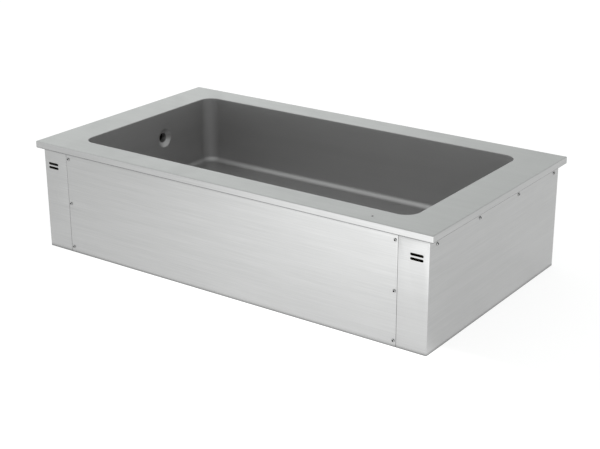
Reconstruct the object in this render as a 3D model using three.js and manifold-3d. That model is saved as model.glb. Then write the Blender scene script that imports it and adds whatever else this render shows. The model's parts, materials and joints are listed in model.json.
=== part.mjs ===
// A drop-in heated food well for three full-size pans, in millimetres with +Z up.
// The origin is the middle of the casing's underside. +X is the right end and -Y is the front.
import * as THREE from 'three';
import { mergeVertices } from 'three/addons/utils/BufferGeometryUtils.js';
import Module from 'manifold-3d';

const wasm = await Module();
wasm.setup();

// Basin
const BASIN_LENGTH = 974;
const BASIN_WIDTH = 507;
const BASIN_DEPTH = 186;
const BASIN_CORNER_RADIUS = 36;
const BASIN_COVE_RADIUS = 16;
const BASIN_LIP_RADIUS = 4.5;
const BASIN_LAND = 6;
const BASIN_SHEET = 1.2;
const UNDERFLOOR_DEPTH = 100;

// Rim
const RIM_END_MARGIN = 91;
const RIM_SIDE_MARGIN = 67;
const RIM_DROP = 18;
const RIM_SHEET = 1.5;
const RIM_CORNER_RADIUS = 2;
const RIM_LEG_DEPTH = 30;
const RIM_HOLE_RADIUS = 2.5;
const RIM_HOLE_FROM_EDGE = 29;
const RIM_HOLE_FROM_END = 167.5;

// Casing
const END_OVERHANG = 15;
const SIDE_OVERHANG = 13;
const CASE_SHEET = 1.2;
const CASE_FOLD_RADIUS = 2;
const CASE_TOP_GAP = 2.2;
const CASE_SLOT_LENGTH = 33;
const CASE_SLOT_HEIGHT = 5.2;
const CASE_SLOT_PITCH = 10.6;
const CASE_SLOT_DROP = 58.4;
const CASE_SLOT_FROM_END = 30.5;
const SEAM_PAST_BASIN = 3;
const SEAM_GAP = 1.2;
const BASE_LIP = 25;

// Screws
const SCREW_HEAD_RADIUS = 3.8;
const SCREW_HEAD_HEIGHT = 1.8;
const SCREW_SOCKET_RADIUS = 1.9;
const SCREW_SOCKET_DEPTH = 1.1;
const SCREW_SHANK_RADIUS = 2;
const SCREW_SHANK_LENGTH = 8;
const SCREW_HOLE_CLEARANCE = 0.4;
const SCREW_FROM_SEAM = 7;
const SCREW_TOP_DROP = 34.6;
const SCREW_FOOT_HEIGHT = 14.8;
const END_SCREW_FROM_FRONT = 32.5;
const END_SCREW_FROM_BACK = 25.5;
const END_SCREW_COUNT = 4;

// Frame
const FRAME_SHEET = 1.5;
const POST_WIDTH = 40;
const POST_DEPTH = 20;
const RAIL_WIDTH = 40;
const RAIL_FOOT = 15;
const RAIL_SIDE_GAP = 3.5;
const RAIL_WINDOW_GAP = 7;

// Insulation and heating
const WALL_INSULATION = 22;
const WALL_INSULATION_TOP_GAP = 8;
const WALL_INSULATION_SKIRT = 8.8;
const OVERFLOW_CUTOUT_RADIUS = 30;
const FLOOR_INSULATION = 26;
const FLOOR_INSULATION_SIDE_GAP = 48.5;
const FLOOR_INSULATION_END_GAP = 7;
const HEATER_RADIUS = 4.25;
const HEATER_LEG_PITCH = 40;
const HEATER_LEG_COUNT = 4;
const HEATER_EDGE_GAP = 1;
const HEATER_SIDE_GAP = 53.5;
const HEATER_TAIL = 12;
const CLAMP_PLATE_SHEET = 1.5;
const CLAMP_PLATE_SIDE_GAP = 58.5;
const BULB_LENGTH = 60;
const BULB_END_GAP = 3;
const BULB_HEATER_GAP = 20;

// Overflow
const OVERFLOW_Y = 60;
const OVERFLOW_HEIGHT = 113;
const OVERFLOW_MOUTH_RADIUS = 25.5;
const OVERFLOW_THROAT_RADIUS = 15;
const OVERFLOW_BORE_RADIUS = 13;
const OVERFLOW_DEPTH = 8;
const OVERFLOW_STUB = 12;
const OVERFLOW_STUB_WALL = 1.5;

// Drain
const DRAIN_FROM_END = 62;
const DRAIN_Y = -60;
const DRAIN_MOUTH_RADIUS = 34;
const DRAIN_THROAT_RADIUS = 30;
const DRAIN_HOLE_RADIUS = 14;
const DRAIN_DEPTH = 5;
const DRAIN_BORE_RADIUS = 10;
const DRAIN_AXIS_DROP = 56;
const DRAIN_RUN = 60;
const DRAIN_WINDOW_MARGIN = 15;
const LEVER_LENGTH = 88;

// Clearances
const SEAT_GAP = 0.3;
const RUNNING_GAP = 0.5;
const OVERRUN = 5;
const WELD_PROUD = 0.05;
const SAME_PLACE = 0.001;

// How finely round shapes are divided
const CORNER_STEPS = 3;
const HOLE_SIDES = 16;
const ROUND_SIDES = 20;

// Places that several pieces share
const RIM_LENGTH = BASIN_LENGTH + 2 * (BASIN_LIP_RADIUS + RIM_END_MARGIN);
const RIM_WIDTH = BASIN_WIDTH + 2 * (BASIN_LIP_RADIUS + RIM_SIDE_MARGIN);
const RIM_TOP = UNDERFLOOR_DEPTH + BASIN_DEPTH;
const RIM_UNDERSIDE = RIM_TOP - RIM_DROP;
const FLOOR_TOP = UNDERFLOOR_DEPTH;
const FLOOR_UNDERSIDE = FLOOR_TOP - BASIN_SHEET;
const CASE_HALF_LENGTH = RIM_LENGTH / 2 - END_OVERHANG;
const CASE_HALF_WIDTH = RIM_WIDTH / 2 - SIDE_OVERHANG;
const CASE_TOP = RIM_UNDERSIDE - CASE_TOP_GAP;
const FRAME_HALF_LENGTH = CASE_HALF_LENGTH - CASE_SHEET - SEAT_GAP;
const FRAME_HALF_WIDTH = CASE_HALF_WIDTH - CASE_SHEET - SEAT_GAP;
const POST_FACE = FRAME_HALF_WIDTH - FRAME_SHEET - SEAT_GAP;
const SEAM_X = BASIN_LENGTH / 2 + SEAM_PAST_BASIN;
const SCREW_X = SEAM_X - SCREW_FROM_SEAM;
const SCREW_TOP_Z = RIM_TOP - SCREW_TOP_DROP;
const SCREW_ROWS = [SCREW_TOP_Z, (SCREW_TOP_Z + SCREW_FOOT_HEIGHT) / 2, SCREW_FOOT_HEIGHT];
const INSULATION_IN = BASIN_SHEET + SEAT_GAP;
const INSULATION_OUT = INSULATION_IN + WALL_INSULATION;
const HEATER_Z = FLOOR_UNDERSIDE - SEAT_GAP - HEATER_RADIUS;
const CLAMP_PLATE_TOP = HEATER_Z - HEATER_RADIUS - SEAT_GAP;
const FLOOR_INSULATION_TOP = CLAMP_PLATE_TOP - CLAMP_PLATE_SHEET - SEAT_GAP;
const RAIL_TOP = FLOOR_INSULATION_TOP - FLOOR_INSULATION - SEAT_GAP;
const OVERFLOW_Z = FLOOR_TOP + OVERFLOW_HEIGHT;
const DRAIN_X = DRAIN_FROM_END - BASIN_LENGTH / 2;
const DRAIN_AXIS_Z = FLOOR_TOP - DRAIN_AXIS_DROP;
const VALVE_Y = DRAIN_Y + DRAIN_RUN;
const TEE_Y = VALVE_Y + DRAIN_RUN;
const DRAIN_WINDOW_END = DRAIN_X + LEVER_LENGTH + DRAIN_WINDOW_MARGIN;
const HEATED_FROM = DRAIN_X + DRAIN_MOUTH_RADIUS - SEAT_GAP;
const HEATED_TO = BASIN_LENGTH / 2 - FLOOR_INSULATION_END_GAP;
const HEATER_REACH = BASIN_WIDTH / 2 - HEATER_SIDE_GAP;
const HEATER_HALF_WIDTH = (HEATER_LEG_COUNT - 1) * HEATER_LEG_PITCH / 2 + HEATER_RADIUS;
const BULB_END_X = HEATED_TO - FLOOR_INSULATION_END_GAP - BULB_END_GAP;

// Materials, each with the finish that the piece has
function finish(name, color, roughness, metalness) {
  return new THREE.MeshStandardMaterial({ name, color, roughness, metalness, flatShading: true });
}

const brushedSteel = finish('brushed steel', 0xc9cac8, 0.38, 1);
const basinSteel = finish('basin steel', 0xb4b6b6, 0.3, 1);
const zincSteel = finish('zinc-plated steel', 0xa9adb0, 0.5, 0.9);
const screwSteel = finish('screw steel', 0x8f9092, 0.35, 1);
const elementSheath = finish('element sheath', 0x4e4a46, 0.6, 0.8);
const mineralWool = finish('mineral wool', 0xc9bf9a, 0.95, 0);
const brass = finish('brass', 0xb8954a, 0.35, 1);
const chrome = finish('chrome', 0xd4d6d8, 0.12, 1);
const gripVinyl = finish('red vinyl', 0xa82a22, 0.6, 0);
const hoseRubber = finish('hose rubber', 0x2a2a2a, 0.8, 0);
const blackPlastic = finish('black plastic', 0x1e1f21, 0.55, 0);
const palePlastic = finish('pale plastic', 0xd8d4c6, 0.5, 0);
const resetRed = finish('red plastic', 0xb02020, 0.45, 0);
const wireSleeve = finish('wire sleeve', 0xd9d5cc, 0.7, 0);

// Solids are joined and cut as closed meshes whose shared corners are merged.
function solidFrom(geometry) {
  const bare = geometry.clone();
  bare.deleteAttribute('normal');
  bare.deleteAttribute('uv');
  const merged = mergeVertices(bare, SAME_PLACE);
  const corners = merged.index.array;
  const triangles = [];
  for (let i = 0; i < corners.length; i += 3) {
    const [a, b, c] = [corners[i], corners[i + 1], corners[i + 2]];
    if (a !== b && b !== c && c !== a) {
      triangles.push(a, b, c);
    }
  }
  return new wasm.Manifold(new wasm.Mesh({
    numProp: 3,
    vertProperties: new Float32Array(merged.attributes.position.array),
    triVerts: new Uint32Array(triangles),
  }));
}

function geometryFrom(solid) {
  const mesh = solid.getMesh();
  const geometry = new THREE.BufferGeometry();
  geometry.setAttribute('position', new THREE.BufferAttribute(new Float32Array(mesh.vertProperties), 3));
  geometry.setIndex(new THREE.BufferAttribute(new Uint32Array(mesh.triVerts), 1));
  geometry.computeVertexNormals();
  return geometry;
}

function join(...pieces) {
  return geometryFrom(pieces.map(solidFrom).reduce((whole, piece) => whole.add(piece)));
}

function cut(body, ...tools) {
  return geometryFrom(tools.map(solidFrom).reduce((rest, tool) => rest.subtract(tool), solidFrom(body)));
}

// A box between two corners
function block(x0, x1, y0, y1, z0, z1) {
  const box = new THREE.BoxGeometry(x1 - x0, y1 - y0, z1 - z0);
  return box.translate((x0 + x1) / 2, (y0 + y1) / 2, (z0 + z1) / 2);
}

// A flat outline made thick between two heights
function slab(outline, bottom, top, curveSteps = CORNER_STEPS) {
  const settings = { depth: top - bottom, bevelEnabled: false, curveSegments: curveSteps };
  return new THREE.ExtrudeGeometry(outline, settings).translate(0, 0, bottom);
}

function roundedRectangle(length, width, radius) {
  const x = length / 2 - radius;
  const y = width / 2 - radius;
  const outline = new THREE.Shape();
  outline.absarc(x, y, radius, 0, Math.PI / 2);
  outline.absarc(-x, y, radius, Math.PI / 2, Math.PI);
  outline.absarc(-x, -y, radius, Math.PI, 1.5 * Math.PI);
  outline.absarc(x, -y, radius, 1.5 * Math.PI, 2 * Math.PI);
  return outline;
}

function hexagon(acrossFlats) {
  const cornerRadius = acrossFlats / 2 / Math.cos(Math.PI / 6);
  const corners = Array.from({ length: 6 }, (_, i) => new THREE.Vector2(
    cornerRadius * Math.cos(i * Math.PI / 3),
    cornerRadius * Math.sin(i * Math.PI / 3),
  ));
  return new THREE.Shape(corners);
}

// A round bar between two points
function rod(radius, from, to, sides = ROUND_SIDES) {
  const start = new THREE.Vector3(...from);
  const along = new THREE.Vector3(...to).sub(start);
  const bar = new THREE.CylinderGeometry(radius, radius, along.length(), sides);
  bar.translate(0, along.length() / 2, 0);
  const up = new THREE.Vector3(0, 1, 0);
  bar.applyQuaternion(new THREE.Quaternion().setFromUnitVectors(up, along.normalize()));
  return bar.translate(start.x, start.y, start.z);
}

// A shape turned about Z from its half section, listed anticlockwise as radius and height.
// A section that starts off the axis is a ring, and closes on its first point.
function turned(section, sides = ROUND_SIDES) {
  const points = section.map(([radius, height]) => new THREE.Vector2(radius, height));
  if (points[0].x > 0) {
    points.push(points[0].clone());
  }
  const turning = new THREE.LatheGeometry(points, sides);
  turning.rotateX(Math.PI / 2);
  return geometryFrom(solidFrom(turning));
}

// A ball, cut into rings and sides
function ball(radius, [x, y, z], sides = ROUND_SIDES) {
  return new THREE.SphereGeometry(radius, sides, sides / 2).rotateX(Math.PI / 2).translate(x, y, z);
}

// A tube's centre line: straight legs between corners, with a round bend at each corner
class PipeRun extends THREE.Curve {
  constructor(corners, bendRadius, bendSteps) {
    super();
    this.stations = [];
    const points = corners.map((corner) => new THREE.Vector3(...corner));
    const last = points.length - 1;
    this.addStation(points[0], points[1].clone().sub(points[0]).normalize());
    for (let i = 1; i < last; i += 1) {
      this.addBend(points[i - 1], points[i], points[i + 1], bendRadius, bendSteps);
    }
    this.addStation(points[last], points[last].clone().sub(points[last - 1]).normalize());
  }

  addStation(point, heading) {
    const previous = this.stations.at(-1);
    if (!previous || previous.point.distanceTo(point) > SAME_PLACE) {
      this.stations.push({ point, heading });
    }
  }

  addBend(before, corner, after, radius, steps) {
    const arriving = corner.clone().sub(before).normalize();
    const leaving = after.clone().sub(corner).normalize();
    const turn = arriving.angleTo(leaving);
    const inward = leaving.clone().addScaledVector(arriving, -Math.cos(turn)).normalize();
    const start = corner.clone().addScaledVector(arriving, -radius * Math.tan(turn / 2));
    for (let step = 0; step <= steps; step += 1) {
      const angle = turn * step / steps;
      const point = start.clone().addScaledVector(arriving, radius * Math.sin(angle));
      point.addScaledVector(inward, radius * (1 - Math.cos(angle)));
      const heading = arriving.clone().multiplyScalar(Math.cos(angle));
      heading.addScaledVector(inward, Math.sin(angle));
      this.addStation(point, heading);
    }
  }

  stationAt(share) {
    return this.stations[Math.round(share * (this.stations.length - 1))];
  }

  getPoint(share) {
    return this.stationAt(share).point.clone();
  }

  getPointAt(share) {
    return this.getPoint(share);
  }

  getTangentAt(share) {
    return this.stationAt(share).heading.clone();
  }
}

function circle(radius, sides) {
  return Array.from({ length: sides }, (_, i) => new THREE.Vector2(
    radius * Math.cos(i * 2 * Math.PI / sides),
    radius * Math.sin(i * 2 * Math.PI / sides),
  ));
}

// A solid or hollow tube that follows a run
function tube(run, radius, sides, boreRadius = 0) {
  const section = new THREE.Shape(circle(radius, sides));
  if (boreRadius > 0) {
    section.holes.push(new THREE.Path(circle(boreRadius, sides)));
  }
  const settings = { steps: run.stations.length - 1, bevelEnabled: false, extrudePath: run };
  return new THREE.ExtrudeGeometry(section, settings);
}

const well = new THREE.Group();

function add(name, material, geometry) {
  const mesh = new THREE.Mesh(geometry, material);
  mesh.name = name;
  well.add(mesh);
}

// The basin's rings are all grown or shrunk copies of its inner wall.
function basinOutline(grow) {
  const length = BASIN_LENGTH + 2 * grow;
  const width = BASIN_WIDTH + 2 * grow;
  return roundedRectangle(length, width, BASIN_CORNER_RADIUS + grow);
}

// A closed skin through rings of points, with a flat cap on the first and the last ring
function lofted(rings) {
  const count = rings[0].length;
  const faces = [];
  for (let i = 1; i < count - 1; i += 1) {
    const lastRing = (rings.length - 1) * count;
    faces.push(0, i, i + 1);
    faces.push(lastRing, lastRing + i + 1, lastRing + i);
  }
  for (let ring = 0; ring < rings.length - 1; ring += 1) {
    for (let i = 0; i < count; i += 1) {
      const next = (i + 1) % count;
      const low = ring * count;
      const high = low + count;
      faces.push(low + i, high + i, low + next);
      faces.push(high + i, high + next, low + next);
    }
  }
  const geometry = new THREE.BufferGeometry();
  const positions = rings.flat(2);
  geometry.setAttribute('position', new THREE.Float32BufferAttribute(positions, 3));
  geometry.setIndex(faces);
  geometry.computeVertexNormals();
  return geometry;
}

// The basin's half section, from the middle of the floor up the wall, over the lip and back outside
function basinSection() {
  const coveSteps = 4;
  const lipSteps = 3;
  const coveZ = FLOOR_TOP + BASIN_COVE_RADIUS;
  const lipZ = RIM_TOP - BASIN_LIP_RADIUS;
  const cove = (radius, share) => [
    radius * Math.sin(share * Math.PI / 2) - BASIN_COVE_RADIUS,
    coveZ - radius * Math.cos(share * Math.PI / 2),
  ];
  const lip = (radius, share) => [
    BASIN_LIP_RADIUS - radius * Math.cos(share * Math.PI / 2),
    lipZ + radius * Math.sin(share * Math.PI / 2),
  ];
  const shares = (steps) => Array.from({ length: steps + 1 }, (_, i) => i / steps);
  const landEdge = BASIN_LIP_RADIUS + BASIN_LAND;
  return [
    ...shares(coveSteps).map((share) => cove(BASIN_COVE_RADIUS, share)),
    ...shares(lipSteps).map((share) => lip(BASIN_LIP_RADIUS, share)),
    [landEdge, RIM_TOP],
    [landEdge, RIM_TOP - BASIN_SHEET],
    ...shares(lipSteps).map((share) => lip(BASIN_LIP_RADIUS - BASIN_SHEET, 1 - share)),
    ...shares(coveSteps).map((share) => cove(BASIN_COVE_RADIUS + BASIN_SHEET, 1 - share)),
  ];
}

// A dish pressed into the basin's sheet round a hole. Height zero is the sheet's inner face.
const RECESS_COLLAR = 2;

function pressedRecess(mouth, throat, hole, depth, stubWall, stubLength) {
  const back = -depth - BASIN_SHEET;
  const stub = stubLength > 0
    ? [[hole, back - stubLength], [hole + stubWall, back - stubLength], [hole + stubWall, back]]
    : [[hole, back]];
  return turned([
    ...stub,
    [throat, back],
    [mouth, -BASIN_SHEET - WELD_PROUD],
    [mouth + RECESS_COLLAR, -BASIN_SHEET - WELD_PROUD],
    [mouth + RECESS_COLLAR, WELD_PROUD],
    [mouth, WELD_PROUD],
    [throat, -depth],
    [hole, -depth],
  ]);
}

function basin() {
  const rings = basinSection().map(([grow, z]) => {
    const points = basinOutline(grow).getPoints(CORNER_STEPS);
    return points.map((point) => [point.x, point.y, z]);
  });
  const wallX = -BASIN_LENGTH / 2;
  const drainOpening = rod(
    DRAIN_MOUTH_RADIUS + RECESS_COLLAR / 2,
    [DRAIN_X, DRAIN_Y, FLOOR_UNDERSIDE - OVERRUN],
    [DRAIN_X, DRAIN_Y, FLOOR_TOP + OVERRUN],
  );
  const overflowOpening = rod(
    OVERFLOW_MOUTH_RADIUS + RECESS_COLLAR / 2,
    [wallX - BASIN_SHEET - OVERRUN, OVERFLOW_Y, OVERFLOW_Z],
    [wallX + OVERRUN, OVERFLOW_Y, OVERFLOW_Z],
  );
  const drain = pressedRecess(
    DRAIN_MOUTH_RADIUS, DRAIN_THROAT_RADIUS, DRAIN_HOLE_RADIUS, DRAIN_DEPTH, 0, 0,
  );
  drain.translate(DRAIN_X, DRAIN_Y, FLOOR_TOP);
  const overflow = pressedRecess(
    OVERFLOW_MOUTH_RADIUS, OVERFLOW_THROAT_RADIUS, OVERFLOW_BORE_RADIUS, OVERFLOW_DEPTH,
    OVERFLOW_STUB_WALL, OVERFLOW_STUB,
  );
  overflow.rotateY(Math.PI / 2).translate(wallX, OVERFLOW_Y, OVERFLOW_Z);
  return join(cut(lofted(rings), drainOpening, overflowOpening), drain, overflow);
}

// Each screw has a place on the casing's outer face and a way that its head faces.
function panelScrews(side) {
  return SCREW_ROWS.flatMap((z) => [-SCREW_X, SCREW_X].map((x) => (
    { place: [x, side * CASE_HALF_WIDTH, z], facing: [0, side, 0] }
  )));
}

function endScrews(side) {
  const first = END_SCREW_FROM_FRONT - CASE_HALF_WIDTH;
  const last = CASE_HALF_WIDTH - END_SCREW_FROM_BACK;
  const pitch = (last - first) / (END_SCREW_COUNT - 1);
  return Array.from({ length: END_SCREW_COUNT }, (_, i) => (
    { place: [side * CASE_HALF_LENGTH, first + i * pitch, SCREW_TOP_Z], facing: [side, 0, 0] }
  ));
}

const ALL_SCREWS = [...panelScrews(-1), ...panelScrews(1), ...endScrews(-1), ...endScrews(1)];

function screwHole({ place, facing }) {
  const holeSides = 8;
  const inward = SCREW_SHANK_LENGTH + OVERRUN;
  const from = place.map((value, axis) => value - facing[axis] * inward);
  const to = place.map((value, axis) => value + facing[axis] * OVERRUN);
  return rod(SCREW_SHANK_RADIUS + SCREW_HOLE_CLEARANCE, from, to, holeSides);
}

function screw({ place, facing }) {
  const screwSides = 10;
  const crown = SEAT_GAP + SCREW_HEAD_HEIGHT;
  const chamfer = (SCREW_HEAD_RADIUS - SCREW_SOCKET_RADIUS) / 2;
  const body = turned([
    [0, -SCREW_SHANK_LENGTH],
    [SCREW_SHANK_RADIUS, -SCREW_SHANK_LENGTH],
    [SCREW_SHANK_RADIUS, SEAT_GAP],
    [SCREW_HEAD_RADIUS, SEAT_GAP],
    [SCREW_HEAD_RADIUS, crown - chamfer],
    [SCREW_HEAD_RADIUS - chamfer, crown],
    [SCREW_SOCKET_RADIUS, crown],
    [SCREW_SOCKET_RADIUS, crown - SCREW_SOCKET_DEPTH],
    [0, crown - SCREW_SOCKET_DEPTH],
  ], screwSides);
  const outward = new THREE.Vector3(...facing);
  const up = new THREE.Vector3(0, 0, 1);
  body.applyQuaternion(new THREE.Quaternion().setFromUnitVectors(up, outward));
  return body.translate(...place);
}

// Folded rim: top sheet, outer fold, return under it and a leg that the casing screws to
function topRim() {
  const outside = slab(
    roundedRectangle(RIM_LENGTH, RIM_WIDTH, RIM_CORNER_RADIUS), RIM_UNDERSIDE, RIM_TOP,
  );
  const legFoot = RIM_UNDERSIDE - RIM_LEG_DEPTH;
  const leg = block(
    -FRAME_HALF_LENGTH, FRAME_HALF_LENGTH, -FRAME_HALF_WIDTH, FRAME_HALF_WIDTH,
    legFoot, RIM_UNDERSIDE + RIM_SHEET,
  );
  const halfLength = RIM_LENGTH / 2 - RIM_SHEET;
  const halfWidth = RIM_WIDTH / 2 - RIM_SHEET;
  const hollow = block(
    -halfLength, halfLength, -halfWidth, halfWidth, RIM_UNDERSIDE + RIM_SHEET, RIM_TOP - RIM_SHEET,
  );
  const legX = FRAME_HALF_LENGTH - RIM_SHEET;
  const legY = FRAME_HALF_WIDTH - RIM_SHEET;
  const middle = block(-legX, legX, -legY, legY, legFoot - OVERRUN, RIM_TOP - 2 * RIM_SHEET);
  const opening = slab(
    basinOutline(BASIN_LIP_RADIUS + BASIN_LAND + SEAT_GAP), RIM_TOP - RIM_DROP / 2, RIM_TOP + OVERRUN,
  );
  const holeX = RIM_LENGTH / 2 - RIM_HOLE_FROM_END;
  const holeY = RIM_HOLE_FROM_EDGE - RIM_WIDTH / 2;
  const hole = rod(
    RIM_HOLE_RADIUS,
    [holeX, holeY, RIM_TOP - RIM_DROP / 2], [holeX, holeY, RIM_TOP + OVERRUN],
    HOLE_SIDES,
  );
  return cut(join(outside, leg), hollow, middle, opening, hole, ...ALL_SCREWS.map(screwHole));
}

// Flat removable panel on the front (-1) or the back (1)
function flatPanel(side) {
  const edge = SEAM_X - SEAM_GAP / 2;
  const faces = [side * CASE_HALF_WIDTH, side * (CASE_HALF_WIDTH - CASE_SHEET)];
  const sheet = block(-edge, edge, Math.min(...faces), Math.max(...faces), 0, CASE_TOP);
  return cut(sheet, ...panelScrews(side).map(screwHole));
}

// A slot with round ends, as a flat outline
function slotOutline(length, height) {
  const radius = height / 2;
  const x = length / 2 - radius;
  const outline = new THREE.Shape();
  outline.absarc(x, 0, radius, -Math.PI / 2, Math.PI / 2);
  outline.absarc(-x, 0, radius, Math.PI / 2, 1.5 * Math.PI);
  return outline;
}

// End cover folded round both corners, with two vent slots in its front and back strips
function endCover(side) {
  const innerX = SEAM_X + SEAM_GAP / 2;
  const wholeCase = slab(
    roundedRectangle(2 * CASE_HALF_LENGTH, 2 * CASE_HALF_WIDTH, CASE_FOLD_RADIUS), 0, CASE_TOP,
  );
  const inside = block(
    CASE_SHEET - CASE_HALF_LENGTH, CASE_HALF_LENGTH - CASE_SHEET,
    CASE_SHEET - CASE_HALF_WIDTH, CASE_HALF_WIDTH - CASE_SHEET,
    -OVERRUN, CASE_TOP + OVERRUN,
  );
  const restOfCase = block(
    -innerX, RIM_LENGTH, -RIM_WIDTH, RIM_WIDTH, -OVERRUN, CASE_TOP + OVERRUN,
  );
  if (side > 0) {
    restOfCase.rotateZ(Math.PI);
  }
  const slotX = side * (CASE_HALF_LENGTH - CASE_SLOT_FROM_END);
  const slotReach = CASE_HALF_WIDTH + OVERRUN;
  const slots = [0, 1].map((row) => {
    const slotZ = RIM_TOP - CASE_SLOT_DROP - row * CASE_SLOT_PITCH;
    const cutter = slab(slotOutline(CASE_SLOT_LENGTH, CASE_SLOT_HEIGHT), -slotReach, slotReach);
    return cutter.rotateX(Math.PI / 2).translate(slotX, 0, slotZ);
  });
  return cut(wholeCase, inside, restOfCase, ...slots, ...endScrews(side).map(screwHole));
}

// Base tray with windows for the drain and the supply cable
const CABLE_WINDOW_RADIUS = 25;
const CABLE_FROM_END = 28;
const CABLE_Y = 70;
const CABLE_X = FRAME_HALF_LENGTH - CABLE_FROM_END;

function basePlate() {
  const tray = slab(
    roundedRectangle(2 * FRAME_HALF_LENGTH, 2 * FRAME_HALF_WIDTH, CASE_FOLD_RADIUS), 0, BASE_LIP,
  );
  const innerX = FRAME_HALF_LENGTH - FRAME_SHEET;
  const innerY = FRAME_HALF_WIDTH - FRAME_SHEET;
  const hollow = block(-innerX, innerX, -innerY, innerY, FRAME_SHEET, BASE_LIP + OVERRUN);
  const drainWindow = block(
    DRAIN_X - DRAIN_RUN - DRAIN_WINDOW_MARGIN, DRAIN_WINDOW_END,
    VALVE_Y - LEVER_LENGTH - DRAIN_WINDOW_MARGIN, TEE_Y + 2 * DRAIN_WINDOW_MARGIN,
    -OVERRUN, FRAME_SHEET + OVERRUN,
  );
  const cableWindow = rod(
    CABLE_WINDOW_RADIUS, [CABLE_X, CABLE_Y, -OVERRUN], [CABLE_X, CABLE_Y, FRAME_SHEET + OVERRUN],
  );
  return cut(tray, hollow, drainWindow, cableWindow, ...ALL_SCREWS.map(screwHole));
}

// Channel post behind each seam, open towards the middle of the well
function post(sideX, sideY) {
  const foot = FRAME_SHEET + SEAT_GAP;
  const head = RIM_TOP - RIM_SHEET - SEAT_GAP;
  const bar = block(-POST_WIDTH / 2, POST_WIDTH / 2, POST_FACE - POST_DEPTH, POST_FACE, foot, head);
  const innerX = POST_WIDTH / 2 - FRAME_SHEET;
  const channel = block(
    -innerX, innerX,
    POST_FACE - POST_DEPTH - OVERRUN, POST_FACE - FRAME_SHEET,
    foot - OVERRUN, head + OVERRUN,
  );
  const shaped = cut(bar, channel);
  if (sideY < 0) {
    shaped.rotateZ(Math.PI);
  }
  shaped.translate(sideX * SEAM_X, 0, 0);
  return cut(shaped, ...panelScrews(sideY).map(screwHole));
}

// Hat-shaped rail across the base that carries the floor insulation
function floorRail(side) {
  const foot = FRAME_SHEET + SEAT_GAP;
  const top = RAIL_TOP;
  const footX = RAIL_WIDTH / 2 + RAIL_FOOT;
  const innerX = RAIL_WIDTH / 2 - FRAME_SHEET;
  const reach = BASIN_WIDTH / 2 - RAIL_SIDE_GAP;
  const hat = join(
    block(-RAIL_WIDTH / 2, RAIL_WIDTH / 2, -reach, reach, foot, top),
    block(-footX, footX, -reach, reach, foot, foot + FRAME_SHEET),
  );
  const channel = block(
    -innerX, innerX, -reach - OVERRUN, reach + OVERRUN, foot - OVERRUN, top - FRAME_SHEET,
  );
  const railX = DRAIN_WINDOW_END + RAIL_WINDOW_GAP + footX;
  return cut(hat, channel).translate(-side * railX, 0, 0);
}

// Mineral wool round the basin's walls, cut away round the overflow
function wallInsulation() {
  const foot = FLOOR_TOP - BASIN_SHEET - WALL_INSULATION_SKIRT;
  const head = RIM_TOP - RIM_SHEET - WALL_INSULATION_TOP_GAP;
  const outside = slab(basinOutline(INSULATION_OUT), foot, head);
  const inside = slab(basinOutline(INSULATION_IN), foot - OVERRUN, head + OVERRUN);
  const wallX = -BASIN_LENGTH / 2;
  const cutout = rod(
    OVERFLOW_CUTOUT_RADIUS,
    [wallX - INSULATION_OUT - OVERRUN, OVERFLOW_Y, OVERFLOW_Z],
    [wallX, OVERFLOW_Y, OVERFLOW_Z],
  );
  return cut(outside, inside, cutout);
}

// The floor's heating lies to the right of the drain.
function floorInsulation() {
  const halfWidth = BASIN_WIDTH / 2 - FLOOR_INSULATION_SIDE_GAP;
  return block(
    HEATED_FROM, HEATED_TO, -halfWidth, halfWidth,
    FLOOR_INSULATION_TOP - FLOOR_INSULATION, FLOOR_INSULATION_TOP,
  );
}

function clampPlate() {
  const halfWidth = BASIN_WIDTH / 2 - CLAMP_PLATE_SIDE_GAP;
  return block(
    HEATED_FROM, HEATED_TO - FLOOR_INSULATION_END_GAP, -halfWidth, halfWidth,
    CLAMP_PLATE_TOP - CLAMP_PLATE_SHEET, CLAMP_PLATE_TOP,
  );
}

// Sheathed element bent to and fro under the floor, with both ends at the front
function heater(centreX) {
  const sides = 8;
  const bendSteps = 3;
  const bendRadius = HEATER_LEG_PITCH / 2;
  const firstLeg = centreX - HEATER_HALF_WIDTH + HEATER_RADIUS;
  const corners = [];
  for (let leg = 0; leg < HEATER_LEG_COUNT; leg += 1) {
    const x = firstLeg + leg * HEATER_LEG_PITCH;
    const startY = leg === 0 ? -HEATER_REACH - HEATER_TAIL : -HEATER_REACH + bendRadius;
    const endY = leg === HEATER_LEG_COUNT - 1
      ? -HEATER_REACH - HEATER_TAIL
      : -HEATER_REACH + bendRadius;
    const there = [x, leg % 2 === 0 ? startY : HEATER_REACH, HEATER_Z];
    const back = [x, leg % 2 === 0 ? HEATER_REACH : endY, HEATER_Z];
    corners.push(there, back);
  }
  return tube(new PipeRun(corners, bendRadius, bendSteps), HEATER_RADIUS, sides);
}

// Drain: a flange in the floor's dish, a loose strainer, a back nut and an elbow towards the valve
const STRAINER_RADIUS = 19;
const STRAINER_SHEET = 1.5;
const STRAINER_KNOB_RADIUS = 4;
const STRAINER_KNOB_HEIGHT = 9;
const STRAINER_HOLE_RADIUS = 2;
const FLANGE_RADIUS = 28.5;
const FLANGE_SHEET = 3;
const TAIL_RADIUS = 13.2;
const TAIL_LENGTH = 36;
const BACKNUT_FLATS = 38;
const BACKNUT_HEIGHT = 9;
const FITTING_RADIUS = 17;
const SOCKET_RADIUS = TAIL_RADIUS + SEAT_GAP;
const SOCKET_DEPTH = 12;
const SOCKET_SHOULDER = 18;
const FLANGE_FLOOR = FLOOR_TOP - DRAIN_DEPTH + SEAT_GAP;
const STRAINER_SEAT = FLANGE_FLOOR + FLANGE_SHEET - STRAINER_SHEET - SEAT_GAP;
const TAIL_FOOT = FLOOR_TOP - TAIL_LENGTH;

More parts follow.
